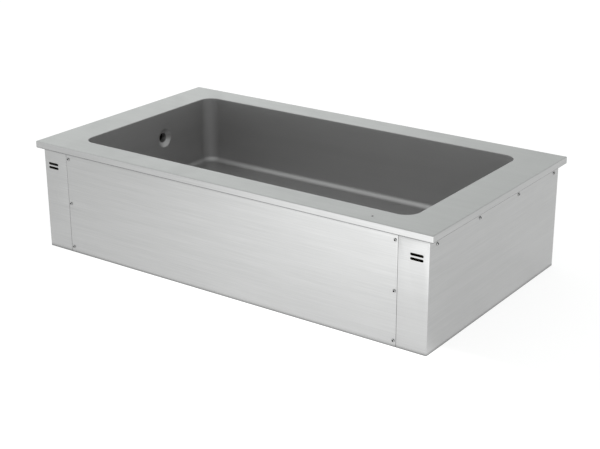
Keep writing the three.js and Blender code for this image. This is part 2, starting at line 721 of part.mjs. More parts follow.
function drainFlange() {
  return turned([
    [DRAIN_BORE_RADIUS, TAIL_FOOT],
    [TAIL_RADIUS, TAIL_FOOT],
    [TAIL_RADIUS, FLANGE_FLOOR],
    [FLANGE_RADIUS, FLANGE_FLOOR],
    [FLANGE_RADIUS, FLANGE_FLOOR + FLANGE_SHEET],
    [STRAINER_RADIUS + SEAT_GAP, FLANGE_FLOOR + FLANGE_SHEET],
    [STRAINER_RADIUS + SEAT_GAP, STRAINER_SEAT],
    [DRAIN_BORE_RADIUS, STRAINER_SEAT],
  ]).translate(DRAIN_X, DRAIN_Y, 0);
}

// Lift-out strainer with two rings of holes and a knob in the middle
function drainStrainer() {
  const seat = STRAINER_SEAT + SEAT_GAP;
  const top = seat + STRAINER_SHEET;
  const disc = turned([
    [0, seat],
    [STRAINER_RADIUS, seat],
    [STRAINER_RADIUS, top],
    [STRAINER_KNOB_RADIUS / 2, top],
    [STRAINER_KNOB_RADIUS / 2, top + STRAINER_KNOB_HEIGHT / 2],
    [STRAINER_KNOB_RADIUS, top + STRAINER_KNOB_HEIGHT * 2 / 3],
    [STRAINER_KNOB_RADIUS, top + STRAINER_KNOB_HEIGHT],
    [0, top + STRAINER_KNOB_HEIGHT],
  ]);
  const holeSides = 6;
  const ringShares = [[6, 3 / 8], [12, 3 / 4]];
  const holes = ringShares.flatMap(([count, radiusShare]) => (
    Array.from({ length: count }, (_, i) => {
      const angle = i * 2 * Math.PI / count;
      const x = STRAINER_RADIUS * radiusShare * Math.cos(angle);
      const y = STRAINER_RADIUS * radiusShare * Math.sin(angle);
      return rod(STRAINER_HOLE_RADIUS, [x, y, seat - OVERRUN], [x, y, top + SEAT_GAP], holeSides);
    })
  ));
  return cut(disc, ...holes).translate(DRAIN_X, DRAIN_Y, 0);
}

function drainBacknut() {
  const top = FLOOR_TOP - DRAIN_DEPTH - BASIN_SHEET - SEAT_GAP;
  const nut = slab(hexagon(BACKNUT_FLATS), top - BACKNUT_HEIGHT, top);
  const bore = rod(SOCKET_RADIUS, [0, 0, top - BACKNUT_HEIGHT - OVERRUN], [0, 0, top + OVERRUN]);
  return cut(nut, bore).translate(DRAIN_X, DRAIN_Y, 0);
}

function drainElbow() {
  const shoulder = TAIL_FOOT - SEAT_GAP;
  const mouthZ = shoulder + SOCKET_DEPTH;
  const armY = SOCKET_SHOULDER + SOCKET_DEPTH;
  const corner = [0, 0, DRAIN_AXIS_Z];
  const shell = join(
    rod(FITTING_RADIUS, corner, [0, 0, mouthZ]),
    ball(FITTING_RADIUS, corner),
    rod(FITTING_RADIUS, corner, [0, armY, DRAIN_AXIS_Z]),
  );
  return cut(
    shell,
    ball(DRAIN_BORE_RADIUS, corner),
    rod(DRAIN_BORE_RADIUS, corner, [0, 0, mouthZ + OVERRUN]),
    rod(DRAIN_BORE_RADIUS, corner, [0, armY + OVERRUN, DRAIN_AXIS_Z]),
    rod(SOCKET_RADIUS, [0, 0, shoulder], [0, 0, mouthZ + OVERRUN]),
    rod(SOCKET_RADIUS, [0, SOCKET_SHOULDER, DRAIN_AXIS_Z], [0, armY + OVERRUN, DRAIN_AXIS_Z]),
  ).translate(DRAIN_X, DRAIN_Y, 0);
}

// Tee where the overflow hose joins, with the waste outlet pointing down
const SPIGOT_RADIUS = OVERFLOW_BORE_RADIUS + OVERFLOW_STUB_WALL;
const SPIGOT_LENGTH = 28;
const OUTLET_RADIUS = 16.6;
const OUTLET_FOOT = 3;

function drainTee() {
  const corner = [0, 0, DRAIN_AXIS_Z];
  const armY = -SOCKET_SHOULDER - SOCKET_DEPTH;
  const spigotX = -FITTING_RADIUS - SPIGOT_LENGTH;
  const shell = join(
    rod(FITTING_RADIUS, [0, armY, DRAIN_AXIS_Z], corner),
    ball(FITTING_RADIUS, corner),
    rod(SPIGOT_RADIUS, corner, [spigotX, 0, DRAIN_AXIS_Z]),
    rod(OUTLET_RADIUS, corner, [0, 0, OUTLET_FOOT]),
  );
  return cut(
    shell,
    rod(DRAIN_BORE_RADIUS, [0, armY - OVERRUN, DRAIN_AXIS_Z], corner),
    ball(DRAIN_BORE_RADIUS, corner),
    rod(SOCKET_RADIUS, [0, armY - OVERRUN, DRAIN_AXIS_Z], [0, -SOCKET_SHOULDER, DRAIN_AXIS_Z]),
    rod(DRAIN_BORE_RADIUS, corner, [spigotX - OVERRUN, 0, DRAIN_AXIS_Z]),
    rod(DRAIN_BORE_RADIUS, corner, [0, 0, OUTLET_FOOT - OVERRUN]),
  ).translate(DRAIN_X, TEE_Y, 0);
}

// Ball valve. At rest the lever points to the right, across the pipe, and the valve is shut.
const VALVE_RADIUS = 19;
const VALVE_CAVITY_RADIUS = 15.5;
const VALVE_BALL_RADIUS = 15;
const NIPPLE_LENGTH = SOCKET_DEPTH - SEAT_GAP;
const BONNET_RADIUS = 9;
const BONNET_DROP = 26;
const STEM_RADIUS = 4;
const STEM_REACH = 35;
const LEVER_WIDTH = 14;
const LEVER_SHEET = 3;
const GRIP_WALL = 2;
const GRIP_LENGTH = 58;
const LEVER_NUT_FLATS = 13;
const LEVER_NUT_HEIGHT = 4;
const LEVER_TOP = DRAIN_AXIS_Z - BONNET_DROP - SEAT_GAP;

function valveBody() {
  const centre = [0, 0, DRAIN_AXIS_Z];
  const nippleY = DRAIN_RUN - SOCKET_SHOULDER - SEAT_GAP;
  const bodyY = nippleY - NIPPLE_LENGTH;
  const shell = join(
    rod(VALVE_RADIUS, [0, -bodyY, DRAIN_AXIS_Z], [0, bodyY, DRAIN_AXIS_Z]),
    rod(TAIL_RADIUS, [0, -nippleY, DRAIN_AXIS_Z], [0, nippleY, DRAIN_AXIS_Z]),
    rod(BONNET_RADIUS, centre, [0, 0, DRAIN_AXIS_Z - BONNET_DROP]),
  );
  return cut(
    shell,
    ball(VALVE_CAVITY_RADIUS, centre),
    rod(
      DRAIN_BORE_RADIUS,
      [0, -nippleY - OVERRUN, DRAIN_AXIS_Z], [0, nippleY + OVERRUN, DRAIN_AXIS_Z],
    ),
    rod(STEM_RADIUS + SEAT_GAP, centre, [0, 0, DRAIN_AXIS_Z - BONNET_DROP - OVERRUN], HOLE_SIDES),
  ).translate(DRAIN_X, VALVE_Y, 0);
}

function valveBall() {
  const halfBore = VALVE_BALL_RADIUS + OVERRUN;
  const sphere = ball(VALVE_BALL_RADIUS, [0, 0, 0]);
  const bore = rod(DRAIN_BORE_RADIUS, [-halfBore, 0, 0], [halfBore, 0, 0]);
  return cut(sphere, bore).translate(DRAIN_X, VALVE_Y, DRAIN_AXIS_Z);
}

function valveStem() {
  const top = DRAIN_AXIS_Z - VALVE_BALL_RADIUS - SEAT_GAP;
  return rod(
    STEM_RADIUS, [DRAIN_X, VALVE_Y, DRAIN_AXIS_Z - STEM_REACH], [DRAIN_X, VALVE_Y, top], HOLE_SIDES,
  );
}

function valveLever() {
  const head = LEVER_WIDTH / 2;
  const plate = slab(slotOutline(LEVER_LENGTH + head, LEVER_WIDTH), LEVER_TOP - LEVER_SHEET, LEVER_TOP);
  plate.translate((LEVER_LENGTH - head) / 2, 0, 0);
  const hole = rod(
    STEM_RADIUS + SEAT_GAP,
    [0, 0, LEVER_TOP - LEVER_SHEET - OVERRUN], [0, 0, LEVER_TOP + OVERRUN],
    HOLE_SIDES,
  );
  return cut(plate, hole).translate(DRAIN_X, VALVE_Y, 0);
}

function leverGrip() {
  const wall = SEAT_GAP + GRIP_WALL;
  const end = LEVER_LENGTH + wall;
  const sleeve = slab(
    slotOutline(GRIP_LENGTH, LEVER_WIDTH + 2 * wall),
    LEVER_TOP - LEVER_SHEET - wall, LEVER_TOP + wall,
  );
  sleeve.translate(end - GRIP_LENGTH / 2, 0, 0);
  const square = block(
    end - GRIP_LENGTH, end - LEVER_WIDTH, -LEVER_WIDTH / 2 - wall, LEVER_WIDTH / 2 + wall,
    LEVER_TOP - LEVER_SHEET - wall, LEVER_TOP + wall,
  );
  const pocketLength = LEVER_LENGTH + LEVER_WIDTH + SEAT_GAP;
  const pocket = slab(
    slotOutline(pocketLength, LEVER_WIDTH + 2 * SEAT_GAP),
    LEVER_TOP - LEVER_SHEET - SEAT_GAP, LEVER_TOP + SEAT_GAP,
  );
  pocket.translate(LEVER_LENGTH + SEAT_GAP - pocketLength / 2, 0, 0);
  return cut(join(sleeve, square), pocket).translate(DRAIN_X, VALVE_Y, 0);
}

function leverNut() {
  const top = LEVER_TOP - LEVER_SHEET - SEAT_GAP;
  const nut = slab(hexagon(LEVER_NUT_FLATS), top - LEVER_NUT_HEIGHT, top);
  const bore = rod(
    STEM_RADIUS + SEAT_GAP,
    [0, 0, top - LEVER_NUT_HEIGHT - OVERRUN], [0, 0, top + OVERRUN],
    HOLE_SIDES,
  );
  return cut(nut, bore).translate(DRAIN_X, VALVE_Y, 0);
}

// Overflow hose, down the left end from the recess's stub to the tee
const HOSE_WALL = 2.8;
const HOSE_STRAIGHT = 3;
const HOSE_BORE_RADIUS = SPIGOT_RADIUS + SEAT_GAP;
const HOSE_RADIUS = HOSE_BORE_RADIUS + HOSE_WALL;
const STUB_ROOT_X = -BASIN_LENGTH / 2 - OVERFLOW_DEPTH - BASIN_SHEET;
const STUB_END_X = STUB_ROOT_X - OVERFLOW_STUB;
const HOSE_X = -(BASIN_LENGTH / 2 + INSULATION_OUT + CASE_HALF_LENGTH - CASE_SHEET) / 2;
const HOSE_BEND_RADIUS = STUB_END_X - HOSE_STRAIGHT - HOSE_X;
const HOSE_FOOT_X = DRAIN_X - FITTING_RADIUS - SEAT_GAP;

function overflowHose() {
  const sides = 16;
  const bendSteps = 5;
  const run = new PipeRun([
    [STUB_ROOT_X - SEAT_GAP, OVERFLOW_Y, OVERFLOW_Z],
    [HOSE_X, OVERFLOW_Y, OVERFLOW_Z],
    [HOSE_X, TEE_Y, DRAIN_AXIS_Z],
    [HOSE_FOOT_X, TEE_Y, DRAIN_AXIS_Z],
  ], HOSE_BEND_RADIUS, bendSteps);
  return tube(run, HOSE_RADIUS, sides, HOSE_BORE_RADIUS);
}

// Band clamp with its screw housing, centred on the origin round the X axis
const CLAMP_WIDTH = 8;
const CLAMP_BAND = 1.3;
const CLAMP_HOUSING_LENGTH = 13;
const CLAMP_HOUSING_HEIGHT = 6;

function hoseClamp(x, y, z) {
  const bore = HOSE_RADIUS + SEAT_GAP;
  const half = CLAMP_WIDTH / 2;
  const band = rod(bore + CLAMP_BAND, [-half, 0, 0], [half, 0, 0]);
  const housing = block(
    -half, half,
    -CLAMP_HOUSING_LENGTH / 2, CLAMP_HOUSING_LENGTH / 2,
    bore, bore + CLAMP_BAND + CLAMP_HOUSING_HEIGHT,
  );
  const through = rod(bore, [-half - OVERRUN, 0, 0], [half + OVERRUN, 0, 0]);
  return cut(join(band, housing), through).translate(x, y, z);
}

// Control bracket at the right end, with a shelf for the cable gland
const BRACKET_FROM_INSULATION = 5;
const BRACKET_HEIGHT = 170;
const BRACKET_FRONT_Y = -110;
const BRACKET_BACK_Y = 105;
const BRACKET_FOOT = 34;
const SHELF_Z = 34;
const SHELF_HALF_WIDTH = 28;
const SHELF_FRONT_Y = CABLE_Y - SHELF_HALF_WIDTH;
const SHELF_BACK_Y = CABLE_Y + SHELF_HALF_WIDTH;
const BRACKET_X = BASIN_LENGTH / 2 + INSULATION_OUT + BRACKET_FROM_INSULATION;
const BRACKET_FACE = BRACKET_X + FRAME_SHEET;
const SHELF_END_X = FRAME_HALF_LENGTH - FRAME_SHEET - BRACKET_FROM_INSULATION;
const GLAND_BODY_RADIUS = 9;
const LOOM_RADIUS = 3.5;
const LOOM_DROP = 14;
const LOOM_Z = HEATER_Z - LOOM_DROP;
const LOOM_HOLE_RADIUS = 6;
const LOOM_HOLE_Y = -65;
const CAPILLARY_RADIUS = 1;
const CAPILLARY_Y = 20;
const CAPILLARY_DROP = 19.4;
const CAPILLARY_Z = HEATER_Z - CAPILLARY_DROP;
const WIRE_FROM_BRACKET = 11;
const WIRE_X = BRACKET_FACE + WIRE_FROM_BRACKET;

function controlBracket() {
  const foot = FRAME_SHEET + SEAT_GAP;
  const wall = block(
    BRACKET_X, BRACKET_FACE, BRACKET_FRONT_Y, BRACKET_BACK_Y, foot, BRACKET_HEIGHT,
  );
  const base = block(
    BRACKET_X, BRACKET_X + BRACKET_FOOT,
    BRACKET_FRONT_Y, SHELF_FRONT_Y - FRAME_SHEET * 2,
    foot, foot + FRAME_SHEET,
  );
  const shelf = block(
    BRACKET_X, SHELF_END_X, SHELF_FRONT_Y, SHELF_BACK_Y, SHELF_Z, SHELF_Z + FRAME_SHEET,
  );
  const through = (radius, y, z) => (
    rod(radius, [BRACKET_X - OVERRUN, y, z], [BRACKET_FACE + OVERRUN, y, z], HOLE_SIDES)
  );
  const glandHole = rod(
    GLAND_BODY_RADIUS + SEAT_GAP,
    [CABLE_X, CABLE_Y, SHELF_Z - OVERRUN], [CABLE_X, CABLE_Y, SHELF_Z + FRAME_SHEET + OVERRUN],
  );
  return cut(
    join(wall, base, shelf),
    through(LOOM_HOLE_RADIUS, LOOM_HOLE_Y, LOOM_Z),
    through(LOOM_RADIUS, CAPILLARY_Y, CAPILLARY_Z),
    glandHole,
  );
}

// Terminal block with a row of open wire pockets along its top
const TERMINAL_COUNT = 5;
const TERMINAL_PITCH = 13;
const TERMINAL_HEIGHT = 30;
const TERMINAL_DEPTH = 22;
const TERMINAL_FOOT_Z = 112;
const TERMINAL_POCKET = 7;

function terminalBlock() {
  const back = BRACKET_FACE + SEAT_GAP;
  const front = back + TERMINAL_DEPTH;
  const halfWidth = TERMINAL_COUNT * TERMINAL_PITCH / 2;
  const top = TERMINAL_FOOT_Z + TERMINAL_HEIGHT;
  const body = block(
    back, front, LOOM_HOLE_Y - halfWidth, LOOM_HOLE_Y + halfWidth, TERMINAL_FOOT_Z, top,
  );
  const half = TERMINAL_POCKET / 2;
  const pocketBack = (back + front) / 2 - half;
  const pockets = Array.from({ length: TERMINAL_COUNT }, (_, i) => {
    const y = LOOM_HOLE_Y + (i - (TERMINAL_COUNT - 1) / 2) * TERMINAL_PITCH;
    return block(
      pocketBack, front + OVERRUN, y - half, y + half, top - TERMINAL_HEIGHT / 2, top + OVERRUN,
    );
  });
  return cut(body, ...pockets);
}

// Safety thermostat with a push-to-reset button on its outer face
const LIMITER_WIDTH = 40;
const LIMITER_HEIGHT = 40;
const LIMITER_DEPTH = 23;
const LIMITER_FOOT_Z = 110;
const COLLAR_RADIUS = 6;
const COLLAR_LENGTH = 6;
const BUTTON_RADIUS = 3.6;
const BUTTON_POCKET_RADIUS = 3.9;
const BUTTON_LENGTH = 12;
const BUTTON_PROUD = 4;
const BUTTON_TRAVEL = 2.5;
const LIMITER_BACK = BRACKET_FACE + SEAT_GAP;
const LIMITER_FACE = LIMITER_BACK + LIMITER_DEPTH;
const BUTTON_Z = LIMITER_FOOT_Z + LIMITER_HEIGHT / 2;
const BUTTON_END = LIMITER_FACE + COLLAR_LENGTH + BUTTON_PROUD;

function limitThermostat() {
  const half = LIMITER_WIDTH / 2;
  const body = block(
    LIMITER_BACK, LIMITER_FACE,
    CAPILLARY_Y - half, CAPILLARY_Y + half,
    LIMITER_FOOT_Z, LIMITER_FOOT_Z + LIMITER_HEIGHT,
  );
  const collar = rod(
    COLLAR_RADIUS,
    [LIMITER_FACE - COLLAR_LENGTH, CAPILLARY_Y, BUTTON_Z],
    [LIMITER_FACE + COLLAR_LENGTH, CAPILLARY_Y, BUTTON_Z],
    HOLE_SIDES,
  );
  const pocket = rod(
    BUTTON_POCKET_RADIUS,
    [BUTTON_END - BUTTON_LENGTH - BUTTON_TRAVEL - RUNNING_GAP, CAPILLARY_Y, BUTTON_Z],
    [LIMITER_FACE + COLLAR_LENGTH + OVERRUN, CAPILLARY_Y, BUTTON_Z],
    HOLE_SIDES,
  );
  return cut(join(body, collar), pocket);
}

function resetButton() {
  return rod(
    BUTTON_RADIUS,
    [BUTTON_END - BUTTON_LENGTH, CAPILLARY_Y, BUTTON_Z], [BUTTON_END, CAPILLARY_Y, BUTTON_Z],
    HOLE_SIDES,
  );
}

// Sensor bulb on the clamp plate, with a thin capillary out through the bracket to the thermostat
const CAPILLARY_PAST_INSULATION = 4;
const CAPILLARY_DROP_X = HEATED_TO + CAPILLARY_PAST_INSULATION;

function sensorBulb() {
  const sides = 6;
  const bendSteps = 2;
  const bendRadius = 3;
  const bulb = rod(
    HEATER_RADIUS,
    [BULB_END_X - BULB_LENGTH, CAPILLARY_Y, HEATER_Z], [BULB_END_X, CAPILLARY_Y, HEATER_Z],
    HOLE_SIDES,
  );
  const run = new PipeRun([
    [BULB_END_X - bendRadius, CAPILLARY_Y, HEATER_Z],
    [CAPILLARY_DROP_X, CAPILLARY_Y, HEATER_Z],
    [CAPILLARY_DROP_X, CAPILLARY_Y, CAPILLARY_Z],
    [WIRE_X, CAPILLARY_Y, CAPILLARY_Z],
    [WIRE_X, CAPILLARY_Y, LIMITER_FOOT_Z - SEAT_GAP],
  ], bendRadius, bendSteps);
  return join(bulb, tube(run, CAPILLARY_RADIUS, sides));
}

// Cable gland through the shelf, open where the supply cable would pass
const GLAND_FLATS = 24;
const GLAND_NUT_HEIGHT = 6;
const GLAND_THREAD = 8;
const GLAND_DOME = 14;
const GLAND_BORE_RADIUS = 5;

function cableGland() {
  const nutTop = SHELF_Z - SEAT_GAP;
  const nutFoot = nutTop - GLAND_NUT_HEIGHT;
  const nut = slab(hexagon(GLAND_FLATS), nutFoot, nutTop);
  const dome = turned([
    [0, nutFoot - GLAND_DOME],
    [GLAND_BODY_RADIUS * 3 / 4, nutFoot - GLAND_DOME],
    [GLAND_BODY_RADIUS, nutFoot - GLAND_DOME * 2 / 3],
    [GLAND_BODY_RADIUS, nutTop + GLAND_THREAD],
    [0, nutTop + GLAND_THREAD],
  ]);
  const bore = rod(
    GLAND_BORE_RADIUS,
    [0, 0, nutFoot - GLAND_DOME - OVERRUN], [0, 0, nutTop + GLAND_THREAD + OVERRUN],
  );
  return cut(join(nut, dome), bore).translate(CABLE_X, CABLE_Y, 0);
}

// Wire loom along the heaters' ends, with a branch to each terminal, out to the terminal block
const LOOM_BRANCH_RADIUS = 2;
const LOOM_FROM_HEATERS = 16;
const LOOM_Y = -HEATER_REACH - HEATER_TAIL - LOOM_FROM_HEATERS;
const LOOM_TURN_X = BASIN_LENGTH / 2 + INSULATION_IN + WALL_INSULATION / 2;
const LOOM_BEND_RADIUS = 10;
const BRANCH_BEND_RADIUS = 6;

function heaterLoom(heaterCentres) {
  const sides = 8;
  const branchSides = 6;
  const bendSteps = 3;
  const halfSpread = HEATER_HALF_WIDTH - HEATER_RADIUS;
  const ends = heaterCentres.flatMap((x) => [x - halfSpread, x + halfSpread]);
  const trunk = new PipeRun([
    [ends[0] - LOOM_RADIUS * 2, LOOM_Y, LOOM_Z],
    [LOOM_TURN_X, LOOM_Y, LOOM_Z],
    [LOOM_TURN_X, LOOM_HOLE_Y, LOOM_Z],
    [WIRE_X, LOOM_HOLE_Y, LOOM_Z],
    [WIRE_X, LOOM_HOLE_Y, TERMINAL_FOOT_Z - SEAT_GAP],
  ], LOOM_BEND_RADIUS, bendSteps);
  const branches = ends.map((x) => tube(new PipeRun([
    [x, LOOM_Y, LOOM_Z],
    [x, LOOM_Y, HEATER_Z],
    [x, -HEATER_REACH - HEATER_TAIL - SEAT_GAP, HEATER_Z],
  ], BRANCH_BEND_RADIUS, bendSteps), LOOM_BRANCH_RADIUS, branchSides));
  return join(tube(trunk, LOOM_RADIUS, sides), ...branches);
}

// The outer heaters lie at the drain's side and at the sensor bulb's, and the third halfway.
const LEFT_HEATER_X = HEATED_FROM + HEATER_EDGE_GAP + HEATER_HALF_WIDTH;
const RIGHT_HEATER_X = BULB_END_X - BULB_LENGTH - BULB_HEATER_GAP - HEATER_HALF_WIDTH;
const HEATER_CENTRES = [LEFT_HEATER_X, (LEFT_HEATER_X + RIGHT_HEATER_X) / 2, RIGHT_HEATER_X];

add('top_rim', brushedSteel, topRim());
add('basin', basinSteel, basin());
add('front_panel', brushedSteel, flatPanel(-1));
add('back_panel', brushedSteel, flatPanel(1));
add('left_end_cover', brushedSteel, endCover(-1));
add('right_end_cover', brushedSteel, endCover(1));
add('base_plate', zincSteel, basePlate());
add('front_left_post', zincSteel, post(-1, -1));
add('front_right_post', zincSteel, post(1, -1));
add('back_left_post', zincSteel, post(-1, 1));
add('back_right_post', zincSteel, post(1, 1));
add('left_floor_rail', zincSteel, floorRail(-1));
add('right_floor_rail', zincSteel, floorRail(1));
add('wall_insulation', mineralWool, wallInsulation());
add('floor_insulation', mineralWool, floorInsulation());
['left_heater', 'middle_heater', 'right_heater'].forEach((name, i) => {
  add(name, elementSheath, heater(HEATER_CENTRES[i]));
});
add('heater_clamp_plate', zincSteel, clampPlate());
add('drain_flange', brass, drainFlange());
add('drain_strainer', chrome, drainStrainer());
add('drain_backnut', brass, drainBacknut());
add('drain_elbow', brass, drainElbow());
add('drain_tee', brass, drainTee());
add('valve_body', brass, valveBody());
add('valve_ball', chrome, valveBall());
add('valve_stem', brass, valveStem());
add('valve_lever', zincSteel, valveLever());
add('lever_grip', gripVinyl, leverGrip());
add('lever_nut', zincSteel, leverNut());
add('overflow_hose', hoseRubber, overflowHose());
add('upper_hose_clamp', screwSteel, hoseClamp(
  STUB_ROOT_X - OVERFLOW_STUB / 2 - RUNNING_GAP, OVERFLOW_Y, OVERFLOW_Z,
));
add('lower_hose_clamp', screwSteel, hoseClamp(HOSE_FOOT_X - SPIGOT_LENGTH / 2, TEE_Y, DRAIN_AXIS_Z));
add('control_bracket', zincSteel, controlBracket());
add('terminal_block', palePlastic, terminalBlock());
add('limit_thermostat', blackPlastic, limitThermostat());
add('reset_button', resetRed, resetButton());
add('sensor_bulb', chrome, sensorBulb());
add('cable_gland', blackPlastic, cableGland());
add('heater_loom', wireSleeve, heaterLoom(HEATER_CENTRES));
panelScrews(-1).forEach((place, i) => add(`front_panel_screw_${i + 1}`, screwSteel, screw(place)));
panelScrews(1).forEach((place, i) => add(`back_panel_screw_${i + 1}`, screwSteel, screw(place)));
endScrews(-1).forEach((place, i) => add(`left_end_screw_${i + 1}`, screwSteel, screw(place)));
endScrews(1).forEach((place, i) => add(`right_end_screw_${i + 1}`, screwSteel, screw(place)));

export default well;
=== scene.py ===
# %% [markdown]
# # A drop-in food well, dressed for its picture
#
# The real object is a heated well for three large food pans. A worktop carries it by its flat rim, and
# a closed casing hangs below. All of it is folded, pressed and brushed stainless sheet.
#
# The part's solids come in first as a fixed frame, in metres, and every size below is read from them.
# A detailed piece then takes the place of each plain solid, so the two can't drift apart.

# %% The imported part, and the sizes read from it
import json
import math
import random

import bmesh
import bpy
from mathutils import Matrix, Vector, noise


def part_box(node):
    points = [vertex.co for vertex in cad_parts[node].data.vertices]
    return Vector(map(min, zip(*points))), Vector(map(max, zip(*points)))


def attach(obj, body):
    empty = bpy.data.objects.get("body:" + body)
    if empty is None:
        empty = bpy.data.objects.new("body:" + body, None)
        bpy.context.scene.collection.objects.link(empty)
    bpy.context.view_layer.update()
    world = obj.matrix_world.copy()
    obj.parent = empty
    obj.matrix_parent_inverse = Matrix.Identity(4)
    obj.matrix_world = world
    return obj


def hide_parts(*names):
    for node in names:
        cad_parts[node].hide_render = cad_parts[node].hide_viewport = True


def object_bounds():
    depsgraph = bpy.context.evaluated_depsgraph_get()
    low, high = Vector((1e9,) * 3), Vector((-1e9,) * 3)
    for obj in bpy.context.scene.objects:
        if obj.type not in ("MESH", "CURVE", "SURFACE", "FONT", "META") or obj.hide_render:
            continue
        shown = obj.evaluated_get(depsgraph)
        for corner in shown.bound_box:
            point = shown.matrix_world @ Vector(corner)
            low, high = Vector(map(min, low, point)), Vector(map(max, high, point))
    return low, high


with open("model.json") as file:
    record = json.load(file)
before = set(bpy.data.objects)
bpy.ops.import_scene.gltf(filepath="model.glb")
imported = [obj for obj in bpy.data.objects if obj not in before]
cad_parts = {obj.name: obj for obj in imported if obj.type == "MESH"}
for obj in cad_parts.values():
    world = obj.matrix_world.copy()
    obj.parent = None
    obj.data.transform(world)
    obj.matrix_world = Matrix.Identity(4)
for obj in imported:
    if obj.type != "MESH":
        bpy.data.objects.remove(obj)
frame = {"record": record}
CAD_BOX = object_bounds()

RIM_LOW, RIM_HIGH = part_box("top_rim")
BASIN_LOW, BASIN_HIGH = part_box("basin")
CASE_LOW, CASE_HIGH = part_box("right_end_cover")
PANEL_LOW, PANEL_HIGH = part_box("front_panel")
TRAY_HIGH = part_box("base_plate")[1]
RIM_LENGTH = RIM_HIGH.x - RIM_LOW.x
RIM_TOP = RIM_HIGH.z
SHEET = PANEL_HIGH.y - PANEL_LOW.y
print("the part is", [round(size, 4) for size in (Vector(CAD_BOX[1]) - Vector(CAD_BOX[0]))], "m")
print("its casing sheet is", round(SHEET, 5), "m thick")

# %% [markdown]
# ## Camera
#
# A product picture like this is taken from a few metres off with a long lens, so that edges stay nearly
# parallel. The camera is given by how a photographer would say it: how far round, how high, how far away
# and which lens. It rolls by a hair, as the picture does.

# %% The camera, placed by angle and distance
CAMERA_AZIMUTH = math.radians(35.54)
CAMERA_HEIGHT_ANGLE = math.radians(20.90)
CAMERA_ROLL = math.radians(-0.24)
CAMERA_DISTANCE = 2.8403 * RIM_LENGTH
CAMERA_AIM = Vector((0.01771, -0.00884, 0.07696)) * RIM_LENGTH
CAMERA_SENSOR_WIDTH = 36
CAMERA_LENS = 78.38
PICTURE_WIDTH = 600


def link_new(name, data):
    """A new object that shows the data, in the scene."""
    piece = bpy.data.objects.new(name, data)
    bpy.context.collection.objects.link(piece)
    return piece


def aim_camera():
    back = Vector((
        math.sin(CAMERA_AZIMUTH) * math.cos(CAMERA_HEIGHT_ANGLE),
        -math.cos(CAMERA_AZIMUTH) * math.cos(CAMERA_HEIGHT_ANGLE),
        math.sin(CAMERA_HEIGHT_ANGLE),
    ))
    right = Vector((0, 0, 1)).cross(back).normalized()
    right = Matrix.Rotation(CAMERA_ROLL, 3, back) @ right
    data = bpy.data.cameras.new("product_camera")
    data.lens = CAMERA_LENS
    data.sensor_width = CAMERA_SENSOR_WIDTH
    data.shift_x = -0.5 / PICTURE_WIDTH
    data.shift_y = 0.5 / PICTURE_WIDTH
    camera = link_new("product_camera", data)
    turn = Matrix((right, back.cross(right), back)).transposed().to_4x4()
    camera.matrix_world = Matrix.Translation(CAMERA_AIM + back * CAMERA_DISTANCE) @ turn
    bpy.context.scene.camera = camera
    return camera


camera = aim_camera()
print("the camera stands at", [round(value, 4) for value in camera.matrix_world.translation])

# %% [markdown]
# ## Materials are made of nodes
#
# Every finish here is a small net of nodes: a place on the piece goes in, noise makes masks from it, and
# the masks steer colour, roughness and relief. Making a node is always the same work, which is to add it,
# to choose its settings and to join or set its inputs. So that work is written once, and after that a
# material reads like a recipe.

# %% Helpers that make materials and their nodes
def new_material(name):
    material = bpy.data.materials.new(name)
    material.use_nodes = True
    tree = material.node_tree
    return material, tree, tree.nodes["Principled BSDF"]


def fill(tree, node, values):
    """Joins each named or numbered input to another node's output, or sets it to a plain value."""
    for label, value in values.items() if isinstance(values, dict) else enumerate(values):
        if isinstance(value, bpy.types.NodeSocket):
            tree.links.new(value, node.inputs[label])
        else:
            node.inputs[label].default_value = value


def add_node(tree, kind, values=(), **settings):
    """Adds a node and gives back its outputs."""
    node = tree.nodes.new("ShaderNode" + kind)
    for setting, value in settings.items():
        setattr(node, setting, value)
    fill(tree, node, values)
    return node.outputs


def calculate(tree, operation, *values):
    return add_node(tree, "Math", values, operation=operation)["Value"]


def product_of(tree, first, *others):
    for other in others:
        first = calculate(tree, "MULTIPLY", first, other)
    return first


def remap(tree, value, low, high, to_low, to_high, way="LINEAR"):
    """Turns a value between low and high into one between to_low and to_high, and no further."""
    ends = {"From Min": low, "From Max": high, "To Min": to_low, "To Max": to_high}
    return add_node(tree, "MapRange", {"Value": value, **ends}, interpolation_type=way)["Result"]


def soft_step(tree, value, low, high, to_low, to_high):
    return remap(tree, value, low, high, to_low, to_high, "SMOOTHSTEP")


def object_place(tree):
    return add_node(tree, "TexCoord")["Object"]


print("masks are shaped by calculate, product_of, remap and soft_step")

# %% [markdown]
# ## Floor and light
#
# Bare steel shows hardly any colour of its own: what it shows is the room. So the floor and the lamps are
# half of the material. The floor glows a little, which makes the background pure white and lights the
# panels evenly, and it glows more to the right, because the real panel runs from grey to nearly white.
# Large soft lamps above give the folded edges their bright lines. One part of the room, high up on the
# right, is dimmer, as if a dark screen stood there, which keeps the rim and the basin from glaring.

# %% A pale floor
FLOOR_HALF_WIDTH = 20 * RIM_LENGTH
FLOOR_CLEARANCE = SHEET / 12
FLOOR_COLOR = (0.22, 0.22, 0.22, 1)
FLOOR_ROUGHNESS = 0.9
GLOW_ALL_OVER = 0.83
GLOW_IN_POOL = 1.4
NEAR_SHARE = 0.32
POOL_ALONG_SHARES = (-0.85, 0.32)
POOL_NEAR_SHARES = (-0.3, -0.2)
POOL_FAR_SHARES = (-1.1, -0.3)


def see_through_from_below(tree, shader):
    """Clears the floor away for a camera under it, so the plumbing can be looked at from there."""
    clear = add_node(tree, "BsdfTransparent")["BSDF"]
    below = add_node(tree, "NewGeometry")["Backfacing"]
    choice = add_node(tree, "MixShader", [below, shader.outputs["BSDF"], clear])
    tree.links.new(choice["Shader"], tree.nodes["Material Output"].inputs["Surface"])


